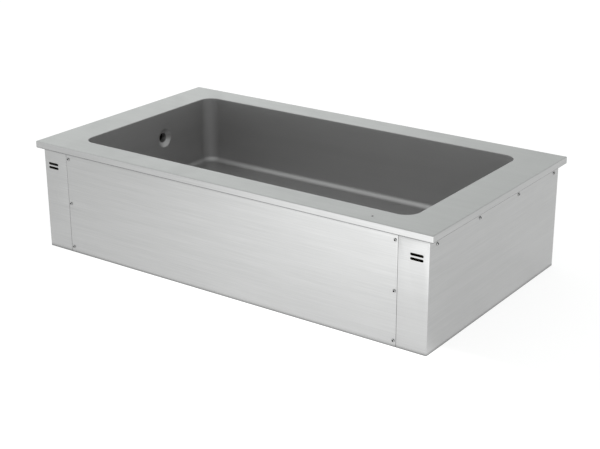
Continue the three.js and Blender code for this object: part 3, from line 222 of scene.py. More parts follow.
def make_floor():
    mesh = bpy.data.meshes.new("pale_floor")
    half, level = FLOOR_HALF_WIDTH, CAD_BOX[0][2] - FLOOR_CLEARANCE
    corners = [(x * half, y * half, level) for x, y in ((-1, -1), (1, -1), (1, 1), (-1, 1))]
    mesh.from_pydata(corners, [], [(0, 1, 2, 3)])
    floor = link_new("pale_floor", mesh)
    material, tree, shader = new_material("pale_floor")
    place = add_node(tree, "SeparateXYZ", [object_place(tree)])
    along, near, far = (
        [share * RIM_LENGTH for share in shares]
        for shares in (POOL_ALONG_SHARES, POOL_NEAR_SHARES, POOL_FAR_SHARES)
    )
    rightward = soft_step(tree, place["X"], *along, 0, 1)
    forward = calculate(
        tree, "ADD", soft_step(tree, place["Y"], *near, NEAR_SHARE, 0),
        soft_step(tree, place["Y"], *far, 1 - NEAR_SHARE, 0),
    )
    pool = product_of(tree, rightward, forward)
    fill(tree, shader, {
        "Base Color": FLOOR_COLOR,
        "Roughness": FLOOR_ROUGHNESS,
        "Emission Color": (1, 1, 1, 1),
        "Emission Strength": calculate(tree, "MULTIPLY_ADD", pool, GLOW_IN_POOL, GLOW_ALL_OVER),
    })
    see_through_from_below(tree, shader)
    mesh.materials.append(material)


make_floor()
print("the floor glows at", GLOW_ALL_OVER, "and in its pool up to", GLOW_ALL_OVER + GLOW_IN_POOL)

# %% A pale room and soft lamps
ROOM_COLOR = (0.975, 1.0, 0.985, 1)
ROOM_BRIGHT = 1.26
ROOM_DIM = 0.95
ROOM_TOP_SHARE = 0.8
DARK_SCREEN = (0.65, -0.32, 0.68)
DARK_SCREEN_SHARE = 0.65


def light_room():
    world = bpy.data.worlds.new("pale_room")
    world.use_nodes = True
    tree = world.node_tree
    direction = add_node(tree, "TexCoord")["Generated"]
    along = add_node(tree, "SeparateXYZ", [direction])
    screen = add_node(tree, "VectorMath", [direction, DARK_SCREEN], operation="DOT_PRODUCT")["Value"]
    strength = product_of(
        tree,
        soft_step(tree, along["X"], -0.54, -0.4, ROOM_BRIGHT, ROOM_DIM),
        soft_step(tree, along["Z"], 0.27, 0.35, 1, ROOM_TOP_SHARE),
        soft_step(tree, screen, 0.75, 0.95, 1, DARK_SCREEN_SHARE),
    )
    fill(tree, tree.nodes["Background"], {"Color": ROOM_COLOR, "Strength": strength})
    bpy.context.scene.world = world
    bpy.context.scene.view_settings.view_transform = "Standard"


def soft_lamp(name, place_shares, size_share, power):
    lamp = bpy.data.lights.new(name, "AREA")
    lamp.shape = "DISK"
    lamp.size = size_share * RIM_LENGTH
    lamp.energy = power
    holder = link_new(name, lamp)
    holder.location = Vector(place_shares) * RIM_LENGTH
    aim = (CAMERA_AIM - holder.location).normalized()
    holder.rotation_euler = aim.to_track_quat("-Z", "Y").to_euler()
    return holder


light_room()
LAMPS = [
    soft_lamp("key_lamp", (1.6, -2.6, 2.6), 1.6, 9),
    soft_lamp("end_lamp", (2.6, 0.9, 1.6), 1.2, 1),
]
print(len(LAMPS), "soft lamps stand over it")

# %% [markdown]
# ## Finishes shared by many pieces
#
# Five surface effects turn up again and again on this well, so each is made once as a node group and
# then placed in every material that needs it, with that material's own values:
#
# - the grain that a brushing belt leaves, which is long one way and fine the other
# - soft marks from handling, which change the gloss but hardly the colour
# - a fine skin, as on castings, moulded plastic and rubber
# - fibres, as in mineral wool and woven sleeving
# - braid, whose ridges cross each other round a tube
#
# A group gives out only masks and heights. The shader itself stays in each material.

# %% Helpers that make a node group and place it
def new_group(name, sizes, outputs, effect):
    """A group that takes a place and some sizes, and gives out what the effect makes of them."""
    tree = bpy.data.node_groups.new(name, "ShaderNodeTree")
    tree.interface.new_socket("Vector", in_out="INPUT", socket_type="NodeSocketVector")
    for label in sizes:
        tree.interface.new_socket(label, in_out="INPUT", socket_type="NodeSocketFloat")
    for label in outputs:
        tree.interface.new_socket(label, in_out="OUTPUT", socket_type="NodeSocketFloat")
    source = tree.nodes.new("NodeGroupInput").outputs
    masks = effect(tree, *(source[label] for label in ("Vector", *sizes)))
    fill(tree, tree.nodes.new("NodeGroupOutput"), masks)
    print(name, "gives", outputs)
    return tree


def place_group(tree, group, vector, **sizes):
    named = {label.replace("_", " "): size for label, size in sizes.items()}
    return add_node(tree, "Group", {"Vector": vector, **named}, node_tree=group)


def stretched(tree, vector, *lengths):
    """The place on the surface, divided by a length along each axis."""
    lengths = add_node(tree, "CombineXYZ", lengths * 3 if len(lengths) == 1 else lengths)["Vector"]
    return add_node(tree, "VectorMath", [vector, lengths], operation="DIVIDE")["Vector"]


def noise_on(tree, vector, detail, roughness=0.5, distortion=0):
    return add_node(tree, "TexNoise", {
        "Vector": vector, "Scale": 1, "Detail": detail, "Roughness": roughness, "Distortion": distortion,
    })["Fac"]


def dots_on(tree, vector, full, gone):
    """Round dots, one in each cell, that fade from full to gone."""
    distance = add_node(tree, "TexVoronoi", {"Vector": vector, "Scale": 1})["Distance"]
    return remap(tree, distance, full, gone, 1, 0)


# %% The five effects
def brushed_grain(tree, place, length, width, band):
    """Fine scratches, streaks that run further, and broad bands, all along the first axis."""
    far = calculate(tree, "MULTIPLY", length, 6)
    wide = calculate(tree, "MULTIPLY", width, 5)
    band_length = calculate(tree, "MULTIPLY", band, 20)
    return [
        noise_on(tree, stretched(tree, place, length, width, width), 2),
        noise_on(tree, stretched(tree, place, far, wide, wide), 3),
        noise_on(tree, stretched(tree, place, band_length, band, band), 3),
    ]


def soft_marks(tree, place, size, spot):
    """Cloudy smudges, and sparse small spots such as dried drops leave."""
    clouds = noise_on(tree, stretched(tree, place, size), 4, 0.6, 0.6)
    spots = dots_on(tree, stretched(tree, place, spot), 0.08, 0.2)
    smudges = remap(tree, clouds, 0.45, 0.7, 0, 1)
    return [smudges, product_of(tree, spots, remap(tree, clouds, 0.55, 0.6, 0, 1))]


def fine_skin(tree, place, grain, pit):
    """The small grain of a casting or a moulding, with shallow pits and slow clouds."""
    return [
        noise_on(tree, stretched(tree, place, grain), 3, 0.6),
        dots_on(tree, stretched(tree, place, pit), 0.05, 0.3),
        noise_on(tree, stretched(tree, place, calculate(tree, "MULTIPLY", pit, 6)), 3),
    ]


CURL = 125 / 6 * SHEET


def fibres(tree, place, length, width):
    """Crossing hair-like strands over soft tufts."""
    sway = add_node(tree, "TexNoise", {"Vector": place, "Scale": 1 / CURL})["Color"]
    reach = [CURL / 5] * 3
    curled = add_node(tree, "VectorMath", [sway, reach, place], operation="MULTIPLY_ADD")["Vector"]
    along = noise_on(tree, stretched(tree, curled, length, width, width), 2)
    across = noise_on(tree, stretched(tree, curled, width, length, length), 2)
    tuft = calculate(tree, "MULTIPLY", length, 2)
    return [calculate(tree, "MAXIMUM", along, across), noise_on(tree, stretched(tree, place, tuft), 3)]


def braid(tree, place, pitch):
    """Ridges that cross each other both ways round a tube."""
    split = add_node(tree, "SeparateXYZ", [place])
    turns = calculate(tree, "DIVIDE", math.tau, pitch)
    waves = []
    for way in ("ADD", "SUBTRACT"):
        slant = calculate(tree, way, split["X"], split["Y"])
        waves.append(calculate(tree, "SINE", calculate(tree, "MULTIPLY", slant, turns)))
    return [calculate(tree, "MULTIPLY_ADD", product_of(tree, *waves), 0.5, 0.5)]


BRUSHED_GRAIN = new_group(
    "brushed_grain", ["Scratch Length", "Scratch Width", "Band Width"], ["Scratches", "Streaks", "Bands"],
    brushed_grain,
)
SOFT_MARKS = new_group("soft_marks", ["Smudge Size", "Spot Size"], ["Smudges", "Spots"], soft_marks)
FINE_SKIN = new_group("fine_skin", ["Grain Size", "Pit Size"], ["Grain", "Pits", "Clouds"], fine_skin)
FIBRES = new_group("fibres", ["Strand Length", "Strand Width"], ["Strands", "Tufts"], fibres)
BRAID = new_group("braid", ["Pitch"], ["Ridges"], braid)

# %% [markdown]
# ## Steel, brushed
#
# Brushed sheet isn't matt and isn't a mirror: each scratch is a tiny mirror, so a reflection is drawn out
# across the grain. The shader's anisotropy does that, and it needs to know which way the grain runs. Every
# sheet piece carries a flat map called "grain", in metres, whose first direction is the brushing
# direction. The same map places the scratches, so both always agree.

# %% Helpers that set a finish
def color_between(tree, share, first, second):
    values = {"Factor": share, "A": (*first, 1), "B": (*second, 1)}
    return add_node(tree, "Mix", values, data_type="RGBA")["Result"]


def painted_crevice_shade(tree, color, reach, darkest):
    """The colour, dimmer where another sheet stands close: shade painted into the colour by an occlusion
    test.
    """
    openness = add_node(tree, "AmbientOcclusion", {"Distance": reach}, samples=6)["AO"]
    level = remap(tree, openness, 0.5, 0.85, darkest, 1)
    values = {"Factor": 1, "A": color, "B": level}
    return add_node(tree, "Mix", values, data_type="RGBA", blend_type="MULTIPLY")["Result"]


def map_place(tree, name):
    return add_node(tree, "UVMap", uv_map=name)["UV"]


def blend(tree, first, *others):
    """The sum of masks, each by its share."""
    total = calculate(tree, "MULTIPLY", *first)
    for mask, share in others:
        total = calculate(tree, "MULTIPLY_ADD", mask, share, total)
    return total


def set_finish(tree, shader, color, gloss, rough, height, depth, metallic=0):
    """What a finish has: a colour, a roughness that follows a mask, and mostly a small relief."""
    fill(tree, shader, {"Base Color": color, "Roughness": remap(tree, gloss, *rough), "Metallic": metallic})
    if depth:
        values = {"Height": height, "Distance": depth, "Strength": 1}
        fill(tree, shader, {"Normal": add_node(tree, "Bump", values)["Normal"]})


# %% The two brushed steels: the outer sheets, and the duller pressed basin
SCRATCH_WIDTH = SHEET * 0.4
SCRATCH_LENGTH = SHEET * 25
SMUDGE_SIZE = SHEET * 275 / 3
SPOT_SIZE = SHEET * 50 / 3


def brushed_steel(name, dark, light, rough, anisotropy, band_width, grain_share, painted_shade_reach):
    material, tree, shader = new_material(name)
    place = map_place(tree, "grain")
    grain = place_group(
        tree, BRUSHED_GRAIN, place,
        Scratch_Length=SCRATCH_LENGTH, Scratch_Width=SCRATCH_WIDTH, Band_Width=band_width,
    )
    marks = place_group(tree, SOFT_MARKS, place, Smudge_Size=SMUDGE_SIZE, Spot_Size=SPOT_SIZE)
    tone = blend(
        tree, (grain["Scratches"], 0.3 * grain_share), (grain["Streaks"], 0.7 * grain_share),
        (grain["Bands"], 1 - grain_share),
    )
    color = color_between(tree, remap(tree, tone, 0.32, 0.68, 0, 1), dark, light)
    gloss = calculate(tree, "MULTIPLY_ADD", marks["Smudges"], 0.25, grain["Streaks"])
    height = calculate(tree, "ADD", grain["Scratches"], grain["Streaks"])
    # The colour is darkened where other sheets stand close: painted shade.
    set_finish(
        tree, shader, painted_crevice_shade(tree, color, painted_shade_reach, 0.4), gloss, (0.3, 0.95, *rough),
        height, SCRATCH_WIDTH * 0.03 * grain_share, metallic=1,
    )
    shader.inputs["Anisotropic"].default_value = anisotropy
    tangent = add_node(tree, "Tangent", direction_type="UV_MAP", uv_map="grain")["Tangent"]
    tree.links.new(tangent, shader.inputs["Tangent"])
    return material


brushed_sheet = brushed_steel(
    "belt_brushed_steel", (0.402, 0.404, 0.403), (0.478, 0.48, 0.479), (0.28, 0.4), 0.6,
    SHEET * 14, 0.75, SHEET * 9,
)
basin_sheet = brushed_steel(
    "satin_basin_steel", (0.432, 0.427, 0.429), (0.452, 0.447, 0.449), (0.5, 0.58), 0.4,
    SHEET * 40, 0.12, SHEET * 5,
)
print("brushed steels:", brushed_sheet.name, "and", basin_sheet.name)

# %% Bare metal: sheared edges, painted shade under the folds, and the screws
def bare_metal(name, dark, light, rough, metallic, grain_size, pit_size, depth, tone="Grain", gloss="Clouds"):
    material, tree, shader = new_material(name)
    marks = place_group(tree, FINE_SKIN, object_place(tree), Grain_Size=grain_size, Pit_Size=pit_size)
    color = color_between(tree, marks[tone], dark, light)
    set_finish(tree, shader, color, marks[gloss], (0.3, 0.7, *rough), marks["Grain"], depth, metallic)
    return material


# Dark steel for sheared edges, and for painted shade on the undersides of folds.
edge_and_shade_steel = bare_metal(
    "edge_and_painted_shade_steel", (0.17, 0.17, 0.172), (0.25, 0.25, 0.252), (0.5, 0.66), 1,
    SHEET / 4, SHEET * 2, SHEET / 100, tone="Clouds", gloss="Grain",
)
screw_steel = bare_metal(
    "turned_screw_steel", (0.42, 0.42, 0.42), (0.5, 0.5, 0.5), (0.24, 0.4), 1, SHEET / 8, SHEET, SHEET / 200,
)
# Near black, with little reflection, for the inside of a screw socket: painted shade.
socket_painted_shade = bare_metal(
    "painted_socket_shade", (0.004, 0.004, 0.004), (0.012, 0.012, 0.012), (0.6, 0.8), 0,
    SHEET / 10, SHEET / 2, 0,
)
socket_painted_shade.node_tree.nodes["Principled BSDF"].inputs["Specular IOR Level"].default_value = 0.1
print("bare metal:", [material.name for material in (edge_and_shade_steel, screw_steel, socket_painted_shade)])

# %% [markdown]
# ## Finishes under the skin
#
# Castings, mouldings and turned parts have no grain that runs one way. They have a fine skin: a tight
# grain, a few shallow pits, and slow clouds where the metal or the mould was a little different. One
# function makes such a material from the fine-skin group, and each finish brings its own two colours,
# gloss and depth. Wool, braid and rubber tube look like none of these, so they are made on their own.

# %% Finishes with a fine skin
def skin_material(name, dark, light, rough, metallic, grain_size, pit_size, depth, painted_shade_reach):
    material, tree, shader = new_material(name)
    place = object_place(tree)
    grain_size, pit_size, depth, painted_shade_reach = (
        share * SHEET for share in (grain_size, pit_size, depth, painted_shade_reach)
    )
    marks = place_group(tree, FINE_SKIN, place, Grain_Size=grain_size, Pit_Size=pit_size)
    handling = place_group(tree, SOFT_MARKS, place, Smudge_Size=pit_size * 10, Spot_Size=pit_size * 2)
    tone = blend(tree, (marks["Clouds"], 0.7), (marks["Grain"], 0.3))
    color = color_between(tree, remap(tree, tone, 0.36, 0.64, 0, 1), dark, light)
    # Where another surface stands close, shade is painted into the colour.
    if painted_shade_reach:
        color = painted_crevice_shade(tree, color, painted_shade_reach, 0.5)
    gloss = calculate(tree, "MULTIPLY_ADD", handling["Smudges"], 0.3, marks["Clouds"])
    pitted = calculate(tree, "MULTIPLY_ADD", marks["Pits"], -0.5, marks["Grain"])
    set_finish(tree, shader, color, gloss, (0.35, 0.85, *rough), pitted, depth, metallic)
    return material


# For each: its two colours, its gloss, how metallic it is, and then, as shares of the sheet, the size of
# its grain and its pits, the depth of both, and how far the painted crevice shade reaches.
SKIN_SHARES = {
    "zinc_plated_steel": ((0.46, 0.478, 0.505), (0.54, 0.558, 0.585), (0.32, 0.5), 1, 2, 12, 1 / 240, 8),
    "heat_tinted_sheath": ((0.075, 0.07, 0.08), (0.21, 0.165, 0.125), (0.38, 0.6), 0.9, 1 / 3, 6, 1 / 60, 0),
    "sand_cast_brass": ((0.42, 0.28, 0.10), (0.58, 0.41, 0.17), (0.42, 0.6), 1, 1 / 2, 2, 1 / 16, 8),
    "turned_brass": ((0.56, 0.40, 0.15), (0.68, 0.50, 0.22), (0.2, 0.34), 1, 1 / 6, 3, 1 / 300, 4),
    "mirror_steel": ((0.60, 0.61, 0.62), (0.70, 0.71, 0.72), (0.14, 0.26), 1, 1 / 4, 8, 1 / 900, 4),
    "dipped_vinyl": ((0.36, 0.022, 0.016), (0.47, 0.035, 0.024), (0.34, 0.5), 0, 1, 5, 1 / 40, 0),
    "moulded_black": ((0.016, 0.016, 0.018), (0.032, 0.032, 0.034), (0.42, 0.58), 0, 1 / 3, 4, 1 / 50, 0),
    "moulded_ivory": ((0.58, 0.55, 0.46), (0.70, 0.67, 0.58), (0.36, 0.5), 0, 1 / 3, 5, 1 / 70, 0),
    "button_red": ((0.40, 0.014, 0.014), (0.50, 0.024, 0.02), (0.18, 0.3), 0, 1 / 4, 3, 1 / 120, 0),
}
FINISH = {name: skin_material(name, *values) for name, values in SKIN_SHARES.items()}
FINISH["button_red"].node_tree.nodes["Principled BSDF"].inputs["Coat Weight"].default_value = 0.4
print("finishes with a fine skin:", ", ".join(FINISH))

# %% Braid, rubber tube and mineral wool
def braided_material(name, dark, light, rough, pitch, depth):
    material, tree, shader = new_material(name)
    ridges = place_group(tree, BRAID, map_place(tree, "wrap"), Pitch=pitch)["Ridges"]
    hairs = place_group(tree, FIBRES, object_place(tree), Strand_Length=pitch * 3, Strand_Width=pitch / 8)
    mixed = blend(tree, (ridges, 0.5), (hairs["Strands"], 0.5))
    color = color_between(tree, remap(tree, mixed, 0.3, 0.75, 0, 1), dark, light)
    set_finish(tree, shader, color, hairs["Tufts"], (0.3, 0.7, *rough), mixed, depth)
    return material


def wool_material(name, dark, light, rough, depth):
    material, tree, shader = new_material(name)
    hairs = place_group(tree, FIBRES, object_place(tree), Strand_Length=SHEET * 10, Strand_Width=SHEET / 2)
    mixed = blend(tree, (hairs["Strands"], 0.6), (hairs["Tufts"], 0.4))
    color = color_between(tree, remap(tree, mixed, 0.4, 0.66, 0, 1), dark, light)
    set_finish(tree, shader, color, hairs["Strands"], (0.3, 0.7, *rough), mixed, depth)
    return material


FINISH["glass_braid"] = braided_material(
    "glass_braid", (0.44, 0.41, 0.34), (0.74, 0.71, 0.63), (0.72, 0.9), SHEET * 1.5, SHEET / 3,
)
FINISH["black_hose"] = braided_material(
    "black_hose", (0.018, 0.018, 0.018), (0.036, 0.036, 0.035), (0.5, 0.68), SHEET * 2.5, SHEET / 30,
)
FINISH["pressed_wool"] = wool_material(
    "pressed_wool", (0.34, 0.29, 0.15), (0.62, 0.56, 0.35), (0.98, 0.84), SHEET / 2,
)
print("and three with a weave or a nap: glass_braid, black_hose, pressed_wool")

# %% [markdown]
# ## Skins built ring by ring
#
# Rim and basin are both sheet that follows a rounded rectangle, so both are built the same way: one
# half section says how far out and how high each ring lies, and faces join ring to ring. Every
# ring has the same number of points, and small bends get rings close together, so the corners stay
# round and the flat parts stay flat.

# %% Helpers that turn rings of points into a mesh
CORNER_STEPS = 14


def arc(steps, start, end):
    """Angles from start to end, in quarter turns."""
    return [(start + (end - start) * i / steps) * math.pi / 2 for i in range(steps + 1)]


def circle(sides):
    return [i * math.tau / sides for i in range(sides)]


def on_circle(angle, radius, *height):
    return Vector((radius * math.cos(angle), radius * math.sin(angle), *height))


def ring(half_x, half_y, radius, z):
    """A rounded rectangle as points, anticlockwise from the right end."""
    points = []
    for quarter, (side_x, side_y) in enumerate(((1, 1), (-1, 1), (-1, -1), (1, -1))):
        x, y = side_x * (half_x - radius), side_y * (half_y - radius)
        for angle in arc(CORNER_STEPS, quarter, quarter + 1):
            points.append(Vector((x + radius * math.cos(angle), y + radius * math.sin(angle), z)))
    return points


def around(count):
    """Each number with the one after it, and the last with the first."""
    return [(i, (i + 1) % count) for i in range(count)]


def bridge(mesh, low, high):
    """Faces between two rings of vertices."""
    for i, j in around(len(low)):
        mesh.faces.new((low[i], low[j], high[j], high[i]))


def skin(rings, cap_ends=False):
    """Faces from ring to ring, and then either across both ends or back to the first ring."""
    mesh = bmesh.new()
    rows = [[mesh.verts.new(point) for point in points] for points in rings]
    for low, high in zip(rows, rows[1:] if cap_ends else rows[1:] + rows[:1]):
        bridge(mesh, low, high)
    if cap_ends:
        mesh.faces.new(rows[0])
        mesh.faces.new(rows[-1])
    bmesh.ops.recalc_face_normals(mesh, faces=mesh.faces)
    return mesh


print("each ring has", len(ring(1, 1, 0.1, 0)), "points")

# %% Helpers that finish a mesh and make it a piece of the well
SMOOTH_LIMIT = math.radians(40)
NUT_SMOOTH_LIMIT = math.radians(20)
WOOL_SMOOTH_LIMIT = math.radians(70)


def lay_grain(mesh):
    """Maps each face flat, in metres, with the grain running level along it."""
    layer = mesh.loops.layers.uv.new("grain")
    for face in mesh.faces:
        x, y, z = (abs(share) for share in face.normal)
        along, up = ("x", "y") if z > max(x, y) else ("y", "z") if x > y else ("x", "z")
        for loop in face.loops:
            place = loop.vert.co
            loop[layer].uv = (getattr(place, along), getattr(place, up))


def smooth_by_angle(mesh, limit=SMOOTH_LIMIT):
    """Smooth shading that breaks at edges sharper than the limit."""
    for face in mesh.faces:
        face.smooth = True
    for edge in mesh.edges:
        if len(edge.link_faces) == 2:
            edge.smooth = edge.calc_face_angle(0) < limit


def as_data(name, mesh):
    data = bpy.data.meshes.new(name)
    mesh.to_mesh(data)
    mesh.free()
    return data


def finished(name, mesh, materials, grain=False, limit=SMOOTH_LIMIT):
    """A mesh with its faces turned outward, its shading, its map and its materials."""
    bmesh.ops.recalc_face_normals(mesh, faces=mesh.faces)
    mesh.normal_update()
    smooth_by_angle(mesh, limit)
    if grain:
        lay_grain(mesh)
    data = as_data(name, mesh)
    for material in materials:
        data.materials.append(material)
    return data


def make_piece(name, data, body, replaced, matrix=Matrix()):
    """An object that rides on its body and stands for its CAD nodes."""
    piece = link_new(name, data)
    piece.matrix_world = matrix
    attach(piece, body)
    if replaced:
        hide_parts(*replaced)
    return piece


def sheet_piece(name, node, mesh, material):
    return make_piece(name, finished(name, mesh, [material], grain=True), "casing", [node])


def inner_piece(name, node, mesh, finish, body="casing", limit=SMOOTH_LIMIT):
    data = finished(name, mesh, [FINISH[finish]], limit=limit)
    return make_piece(name, data, body, [node] if node else [])


# %% Helpers that cut a piece and join shapes to it
def joined(meshes):
    """One mesh of many, which are used up."""
    whole = bmesh.new()
    for mesh in meshes:
        data = as_data("joined", mesh)
        whole.from_mesh(data)
        bpy.data.meshes.remove(data)
    return whole


def cut_away(piece, cutters, operation="DIFFERENCE"):
    """Takes the cutters' shapes out of a piece, or joins them to it, and then shades and maps it again."""
    tool = link_new("cutter", as_data("cutter", joined(cutters)))
    modifier = piece.modifiers.new("cut", "BOOLEAN")
    modifier.operation = operation
    modifier.solver = "EXACT"
    modifier.object = tool
    graph = bpy.context.evaluated_depsgraph_get()
    result = bpy.data.meshes.new_from_object(piece.evaluated_get(graph), depsgraph=graph)
    piece.modifiers.remove(modifier)
    used = [piece.data, tool.data]
    piece.data = result
    bpy.data.objects.remove(tool)
    for data in used:
        bpy.data.meshes.remove(data)
    tidy = bmesh.new()
    tidy.from_mesh(result)
    bmesh.ops.dissolve_degenerate(tidy, dist=SHEET / 1000, edges=tidy.edges)
    smooth_by_angle(tidy)
    for layer in list(tidy.loops.layers.uv):
        tidy.loops.layers.uv.remove(layer)
    tidy.normal_update()
    lay_grain(tidy)
    tidy.to_mesh(result)
    tidy.free()


def add_on(piece, additions):
    """Joins closed shapes to a piece, for good."""
    cut_away(piece, additions, "UNION")


def moved(mesh, matrix):
    bmesh.ops.transform(mesh, verts=mesh.verts, matrix=matrix)
    return mesh


def pointing(direction):
    """The turn that brings something made along Z to a direction."""
    return Vector(direction).to_track_quat("Z", "Y").to_matrix().to_4x4()


def set_at(mesh, place):
    return moved(mesh, Matrix.Translation(Vector(place)))


def set_along(mesh, place, direction):
    """Stands a shape made about Z at a place, pointing along a direction."""
    return moved(mesh, Matrix.Translation(Vector(place)) @ pointing(direction))


def rod_cutter(radius, start, end, sides=48):
    """A closed round bar between two points."""
    start, end = Vector(start), Vector(end)
    mesh = bmesh.new()
    bmesh.ops.create_cone(
        mesh, cap_ends=True, segments=sides, radius1=radius, radius2=radius, depth=(end - start).length,
    )
    return set_along(mesh, (start + end) / 2, end - start)


def drill(radius, place, reach, sides=48):
    """A round bar that reaches both ways from a place."""
    return rod_cutter(radius, Vector(place) - reach, Vector(place) + reach, sides)


def middle_of(node):
    low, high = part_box(node)
    return (low + high) / 2


# %% [markdown]
# ## The rim
#
# The rim is one folded sheet: a flat top, a rounded fold down all round, a return underneath and a leg
# that the casing screws to. It is the piece that a visitor sees and touches, so the folds are real bends
# with a radius, and the sheet has its true thickness. The top sheet runs right up to the basin's lip,
# because on the real well that joint is welded and ground away.

# %% Sizes of the sheets, read from the frame
GAP = SHEET / 4
RIM_SHEET = 1.25 * SHEET
LIP_RADIUS = 3.75 * SHEET
LAND = 5 * SHEET
BASIN_HALF_LENGTH = BASIN_HIGH.x - LIP_RADIUS - LAND
BASIN_HALF_WIDTH = BASIN_HIGH.y - LIP_RADIUS - LAND
BASIN_CORNER_RADIUS = 30 * SHEET
COVE_RADIUS = 40 / 3 * SHEET
FLOOR_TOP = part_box("middle_heater")[1].z + GAP + SHEET
RIM_UNDERSIDE = next(m["pos_m"][2] for m in frame["record"]["mounts"] if m["name"] == "worktop_seat")
FOLD_RADIUS = 5 / 3 * SHEET
HEM_RADIUS = 2.75 * SHEET
LIP_BEND = RIM_SHEET
SUPPORT = SHEET / 3
print("the basin is", round(2 * BASIN_HALF_LENGTH, 4), "by", round(2 * BASIN_HALF_WIDTH, 4), "m inside")
print("and", round(RIM_TOP - FLOOR_TOP, 4), "m deep")
print("the rim's fold is", round(RIM_TOP - RIM_UNDERSIDE, 4), "m high")

# %% The folded rim
RIM_HOLE_SHARES = (0.35622, -0.25408)
RIM_HOLE_RADIUS = 25 / 12 * SHEET
DARK_FACE_SLOPE = 0.2


def sheared_edges_and_painted_shade(piece, above=True):
    """Gives the faces of a brushed piece that face down, and with above those that face up, a dark bare
    steel: on a panel these are its sheared edges, and under the rim's folds it is painted shade.
    """
    piece.data.materials.append(edge_and_shade_steel)
    for face in piece.data.polygons:
        if face.normal.z < -DARK_FACE_SLOPE or (above and face.normal.z > DARK_FACE_SLOPE):
            face.material_index = 1


def opening_ring(grow, z):
    return ring(BASIN_HALF_LENGTH + grow, BASIN_HALF_WIDTH + grow, BASIN_CORNER_RADIUS + grow, z)


def rim_ring(inset, z):
    return ring(RIM_HIGH.x - inset, RIM_HIGH.y - inset, max(FOLD_RADIUS - inset, SHEET / 8), z)


def leg_ring(inset, z):
    return ring(TRAY_HIGH.x - inset, TRAY_HIGH.y - inset, SHEET, z)


def make_rim():
    fold, hem, thick = FOLD_RADIUS, HEM_RADIUS, RIM_SHEET
    top, under, foot = RIM_TOP, RIM_UNDERSIDE, RIM_LOW.z
    rings = [opening_ring(LIP_BEND, top), opening_ring(LIP_BEND + SUPPORT, top)]
    rings += [rim_ring(fold + SUPPORT, top)]
    rings += [rim_ring(fold - fold * math.sin(a), top - fold + fold * math.cos(a)) for a in arc(5, 0, 1)]
    rings += [rim_ring(0, top - fold - SUPPORT), rim_ring(0, under + hem + SUPPORT)]
    rings += [rim_ring(hem - hem * math.cos(a), under + hem - hem * math.sin(a)) for a in arc(6, 0, 1)]
    rings += [rim_ring(hem + SUPPORT, under), leg_ring(-SHEET - SUPPORT, under)]
    rings += [
        leg_ring(SHEET * math.sin(a) - SHEET, under - SHEET + SHEET * math.cos(a)) for a in arc(3, 0, 1)
    ]
    rings += [leg_ring(0, foot + SUPPORT), leg_ring(SUPPORT, foot), leg_ring(thick - SUPPORT, foot)]
    rings += [leg_ring(thick, foot + SUPPORT)]
    rings += [leg_ring(thick, under + thick), rim_ring(thick, under + thick)]
    rings += [rim_ring(thick, top - thick), opening_ring(LIP_BEND, top - thick)]
    rim = sheet_piece("folded_rim", "top_rim", skin(rings), brushed_sheet)
    # Every face of the rim that faces down, the lower fold included, is painted dark as shade.
    sheared_edges_and_painted_shade(rim, above=False)
    x, y = (share * RIM_LENGTH for share in RIM_HOLE_SHARES)
    cut_away(rim, [rod_cutter(RIM_HOLE_RADIUS, (x, y, top - 2 * thick), (x, y, top + thick))])
    return rim


folded_rim = make_rim()
print("the rim has", len(folded_rim.data.polygons), "faces")

# %% [markdown]
# ## The basin
#
# The basin is pressed and welded from thinner sheet, with corners a hand can wipe out: a cove round the
# floor and a rolled lip at the top. The overflow is pressed into the left wall as a shallow cone, and the
# drain sits in a shallow dish. Each is turned like a bowl and then joined to the sheet, after a hole has
# been cut for it, so the basin stays one closed skin with a real thickness.

# %% Turned shapes
def turned(profile, sides=72):
    """A shape turned about Z. Its profile, of radii and heights, starts on the axis or runs all round."""
    mesh = bmesh.new()
    rows = []
    for radius, height in profile:
        angles = circle(sides) if radius else [0]
        rows.append([mesh.verts.new(on_circle(angle, radius, height)) for angle in angles])
    closed = profile[0][0] > 0
    for low, high in zip(rows, rows[1:] + rows[:1] if closed else rows[1:]):
        if len(low) == len(high):
            bridge(mesh, low, high)
        else:
            for i, j in around(sides):
                corners = (low[0], high[j], high[i]) if len(low) == 1 else (low[i], low[j], high[0])
                mesh.faces.new(corners)
    bmesh.ops.recalc_face_normals(mesh, faces=mesh.faces)
    return mesh


EASE_STEPS = 4


def eased(before, corner, after, reach):
    """Points that round off a corner of a profile, starting reach before it."""
    corner = Vector(corner)
    start = corner + (Vector(before) - corner).normalized() * reach
    end = corner + (Vector(after) - corner).normalized() * reach
    shares = [i / EASE_STEPS for i in range(EASE_STEPS + 1)]
    return [tuple((1 - s) ** 2 * start + 2 * s * (1 - s) * corner + s ** 2 * end) for s in shares]


def profile_of(*corners):
    """The points of a profile. A corner's third value says how far from it the rounding starts."""
    points = []
    for i, (radius, height, *reach) in enumerate(corners):
        if reach:
            after = corners[(i + 1) % len(corners)]
            points += eased(corners[i - 1][:2], (radius, height), after[:2], *reach)
        else:
            points.append((radius, height))
    return points


# %% The basin's sheet, with its overflow and its drain dish
OVERFLOW_RADIUS = 21.25 * SHEET
OVERFLOW_THROAT = 12.5 * SHEET
OVERFLOW_BORE = 65 / 6 * SHEET
OVERFLOW_DEPTH = 20 / 3 * SHEET
OVERFLOW_WALL = RIM_SHEET
DISH_RADIUS = 85 / 3 * SHEET
DISH_THROAT = 25 * SHEET
DISH_HOLE = 35 / 3 * SHEET
COLLAR = 5 / 3 * SHEET
PROUD = SHEET / 24


def overflow_place():
    low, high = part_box("upper_hose_clamp")
    return Vector((-BASIN_HALF_LENGTH, (low.y + high.y) / 2, low.z + (high.y - low.y) / 2))


def drain_place():
    return Vector((*middle_of("drain_flange").xy, FLOOR_TOP))


